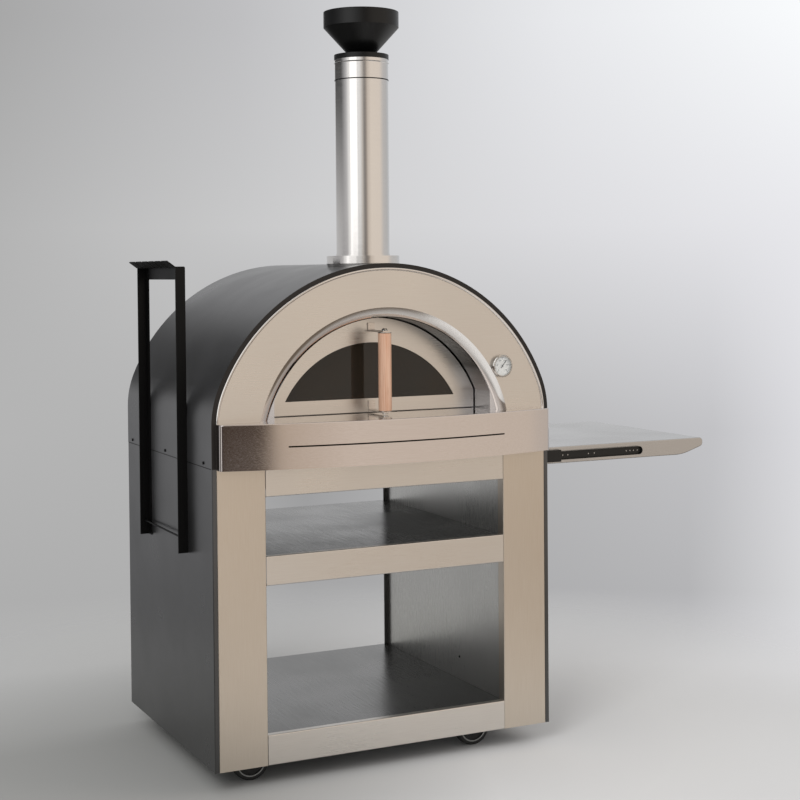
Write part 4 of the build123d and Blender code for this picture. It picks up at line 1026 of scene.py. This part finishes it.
@dataclass
class Studio:
    """Pale floor with painted light and shade, soft light and the camera."""

    camera_place: Point = (-1.7897, -4.1336, 1.3411)
    yaw_degrees: float = 25.97
    pitch_degrees: float = 1.30
    roll_degrees: float = 0.48
    lens_mm: float = 69.6
    shift_y: float = -0.115
    sensor_mm: float = 36.0
    floor_radius: float = 2.2
    floor_sides: int = 96
    fade_start: float = 0.45
    floor_skew: float = 0.35
    floor_light_span: Span = (-0.35, 0.4)
    floor_depth_span: Span = (0.2, 1.1)
    horizon: Span = (-0.03, 0.01)
    near_floor: Span = (-0.32, -0.15)
    shade_foot: Span = (0.03, 0.12)
    shade_head: Span = (0.3, 0.55)
    shade_side: Span = (0.16, 0.24)
    shade_depth: float = 0.9
    soft_box: Span = (0.285, 0.375)
    soft_box_gain: float = 0.6
    seen_degrees: Span = (11.0, 41.0)
    fill: float = 0.72
    aim: Point = (0.0, 0.0, 0.9)

    def camera(self) -> None:
        """Camera at the height of a standing viewer, to the left of the oven's front."""
        degrees = (self.yaw_degrees, self.pitch_degrees, self.roll_degrees)
        yaw, pitch, roll = (math.radians(angle) for angle in degrees)
        ahead = Vector((math.sin(yaw) * math.cos(pitch), math.cos(yaw) * math.cos(pitch), -math.sin(pitch)))
        right = Vector((math.cos(yaw), -math.sin(yaw), 0))
        right = Matrix.Rotation(roll, 3, ahead) @ right
        up = right.cross(ahead)
        data = bpy.data.cameras.new("camera")
        data.lens = self.lens_mm
        data.sensor_width = self.sensor_mm
        data.shift_y = self.shift_y
        camera = bpy.data.objects.new("camera", data)
        turn = Matrix((right, up, -ahead)).transposed().to_4x4()
        camera.matrix_world = Matrix.Translation(self.camera_place) @ turn
        bpy.context.scene.collection.objects.link(camera)
        bpy.context.scene.camera = camera

    def floor(self) -> None:
        """Round floor that fades into the background at its rim and keeps the oven's shadow."""
        mesh = bmesh.new()
        bmesh.ops.create_circle(mesh, cap_ends=True, segments=self.floor_sides, radius=self.floor_radius)
        data = bpy.data.meshes.new("floor")
        mesh.to_mesh(data)
        mesh.free()
        made = bpy.data.objects.new("floor", data)
        bpy.context.scene.collection.objects.link(made)
        material = bpy.data.materials.new("floor_paper")
        material.use_nodes = True
        tree = material.node_tree
        tree.nodes.clear()
        place = axes(tree)
        x, y = place.outputs["X"], place.outputs["Y"]
        # Painted light and shade: the floor is darker to the left of the oven, more so near its front, and
        # pale to its right.
        across = math_node(tree, "SUBTRACT", x, math_node(tree, "MULTIPLY", y, self.floor_skew))
        depth = spread(tree, y, 0.0, 1.0, *self.floor_depth_span)
        painted_left_shade = ramp(tree, depth, ((0.0, "#a7a7a5"), (1.0, "#c9c9c8")))
        tone = mixed(tree, spread(tree, across, 0.0, 1.0, *self.floor_light_span), painted_left_shade, "#e2e2e2")
        paper = add(tree, "BsdfDiffuse", {"Color": tone})
        spot = add(tree, "TexCoord").outputs["Object"]
        far = add(tree, "VectorMath", {0: spot}, operation="LENGTH").outputs["Value"]
        fade = spread(tree, far, 0.0, 1.0, self.floor_radius * self.fade_start, self.floor_radius)
        clear = add(tree, "BsdfTransparent")
        made_shader = add(tree, "MixShader", {0: fade, 1: paper.outputs[0], 2: clear.outputs[0]})
        add(tree, "OutputMaterial", {"Surface": made_shader.outputs[0]})
        data.materials.append(material)

    def lamp(self, name: str, place: Point, size: float, power: float, color: str = "#ffffff") -> None:
        """Square soft lamp that lights but isn't seen in reflections, turned to the oven.

        Args:
            name: The lamp's name.
            place: Where it hangs.
            size: Length of its sides.
            power: Its power in watts.
            color: Its colour.
        """
        data = bpy.data.lights.new(name, "AREA")
        data.size = size
        data.energy = power
        data.color = linear(color)[:3]
        lamp = bpy.data.objects.new(name, data)
        turn = (Vector(self.aim) - Vector(place)).to_track_quat("-Z", "Y").to_matrix().to_4x4()
        lamp.matrix_world = Matrix.Translation(place) @ turn
        lamp.visible_glossy = False
        bpy.context.scene.collection.objects.link(lamp)

    def room(self, tree: bpy.types.NodeTree, way: Any) -> Any:
        """Shader node of the room that gloss reflects.

        Args:
            tree: The world's node tree.
            way: Separate node of the direction looked in.

        Returns:
            The background node.
        """
        ahead = math_node(tree, "MULTIPLY", way.outputs["Y"], -1.0)
        bearing = math_node(tree, "ARCTAN2", way.outputs["X"], ahead)
        around = spread(tree, bearing, 0.0, 1.0, -math.pi, math.pi)
        rise = way.outputs["Z"]
        high, low, under = (ramp(tree, around, tones) for tones in (ROOM_HIGH, ROOM_LOW, ROOM_FLOOR))
        room = mixed(tree, spread(tree, rise, 0.0, 1.0, *self.horizon), low, high)
        room = mixed(tree, spread(tree, rise, 1.0, 0.0, *self.near_floor), room, under)
        # A dim stretch of wall behind and to the left, over eye level.
        foot = spread(tree, rise, 0.0, 1.0, *self.shade_foot)
        head = spread(tree, rise, 1.0, 0.0, *self.shade_head)
        side = spread(tree, around, self.shade_depth, 0.0, *self.shade_side)
        shade = math_node(tree, "MULTIPLY", math_node(tree, "MULTIPLY", foot, head), side)
        room = mixed(tree, shade, room, "#262626")
        # A soft box to the left, brighter than the walls.
        start, end = self.soft_box
        over = math_node(tree, "GREATER_THAN", around, start)
        soft_box = math_node(tree, "MULTIPLY", over, math_node(tree, "LESS_THAN", around, end))
        gain = spread(tree, rise, 0.0, self.soft_box_gain, *self.horizon)
        lift = math_node(tree, "ADD", 1.0, math_node(tree, "MULTIPLY", soft_box, gain))
        return add(tree, "Background", {"Color": room, "Strength": lift})

    def seen(self, tree: bpy.types.NodeTree, way: Any) -> Any:
        """Shader node of the background that the camera sees.

        Args:
            tree: The world's node tree.
            way: Separate node of the direction looked in.

        Returns:
            The background node.
        """
        rise = way.outputs["Z"]
        bearing = math_node(tree, "ARCTAN2", way.outputs["X"], way.outputs["Y"])
        start, end = (math.radians(angle) for angle in self.seen_degrees)
        side = spread(tree, bearing, 0.0, 1.0, start, end)
        shown = ramp(tree, side, BACKDROP[0][1])
        for (below, _), (height, tones) in zip(BACKDROP, BACKDROP[1:]):
            shown = mixed(tree, spread(tree, rise, 0.0, 1.0, below, height), shown, ramp(tree, side, tones))
        return add(tree, "Background", {"Color": shown, "Strength": 1.0})

    def world(self) -> None:
        """Background that the camera sees, the room that gloss reflects, and an even fill."""
        world = bpy.data.worlds.new("studio")
        bpy.context.scene.world = world
        world.use_nodes = True
        tree = world.node_tree
        tree.nodes.clear()
        way = add(tree, "SeparateXYZ", {0: add(tree, "TexCoord").outputs["Generated"]})
        gloss = self.room(tree, way)
        shown = self.seen(tree, way)
        fill = add(tree, "Background", {"Color": linear("#f6f6f6"), "Strength": self.fill})
        path = add(tree, "LightPath")
        shiny = math_node(tree, "MAXIMUM", path.outputs["Is Glossy Ray"], path.outputs["Is Transmission Ray"])
        unseen = add(tree, "MixShader", {0: shiny, 1: fill.outputs[0], 2: gloss.outputs[0]})
        direct = path.outputs["Is Camera Ray"]
        out = add(tree, "MixShader", {0: direct, 1: unseen.outputs[0], 2: shown.outputs[0]})
        add(tree, "OutputWorld", {"Surface": out.outputs[0]})

    def build(self) -> None:
        """Set up the studio round the oven."""
        scene = bpy.context.scene
        scene.unit_settings.system = "METRIC"
        scene.unit_settings.scale_length = 1.0
        scene.view_settings.view_transform = "Standard"
        self.camera()
        self.floor()
        self.world()
        self.lamp("key_lamp", (-3.2, -3.4, 3.4), 2.2, 95.0)
        self.lamp("fill_lamp", (3.6, -2.6, 2.2), 2.6, 45.0, "#fff4ea")


def main() -> None:
    """Build the studio and every sub-assembly in order."""
    logging.basicConfig(level=logging.INFO, format="%(name)s: %(message)s")
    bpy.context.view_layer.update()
    Studio().build()
    kinds = (Cabinet, OvenShell, Door, Thermometer, Chimney, ToolRack, SideShelf, Castors)
    for assembly in (kind() for kind in kinds):
        assembly.dress()
        assembly.build()
        LOG.info("built %s", type(assembly).__name__)


if __name__ == "__main__":
    main()
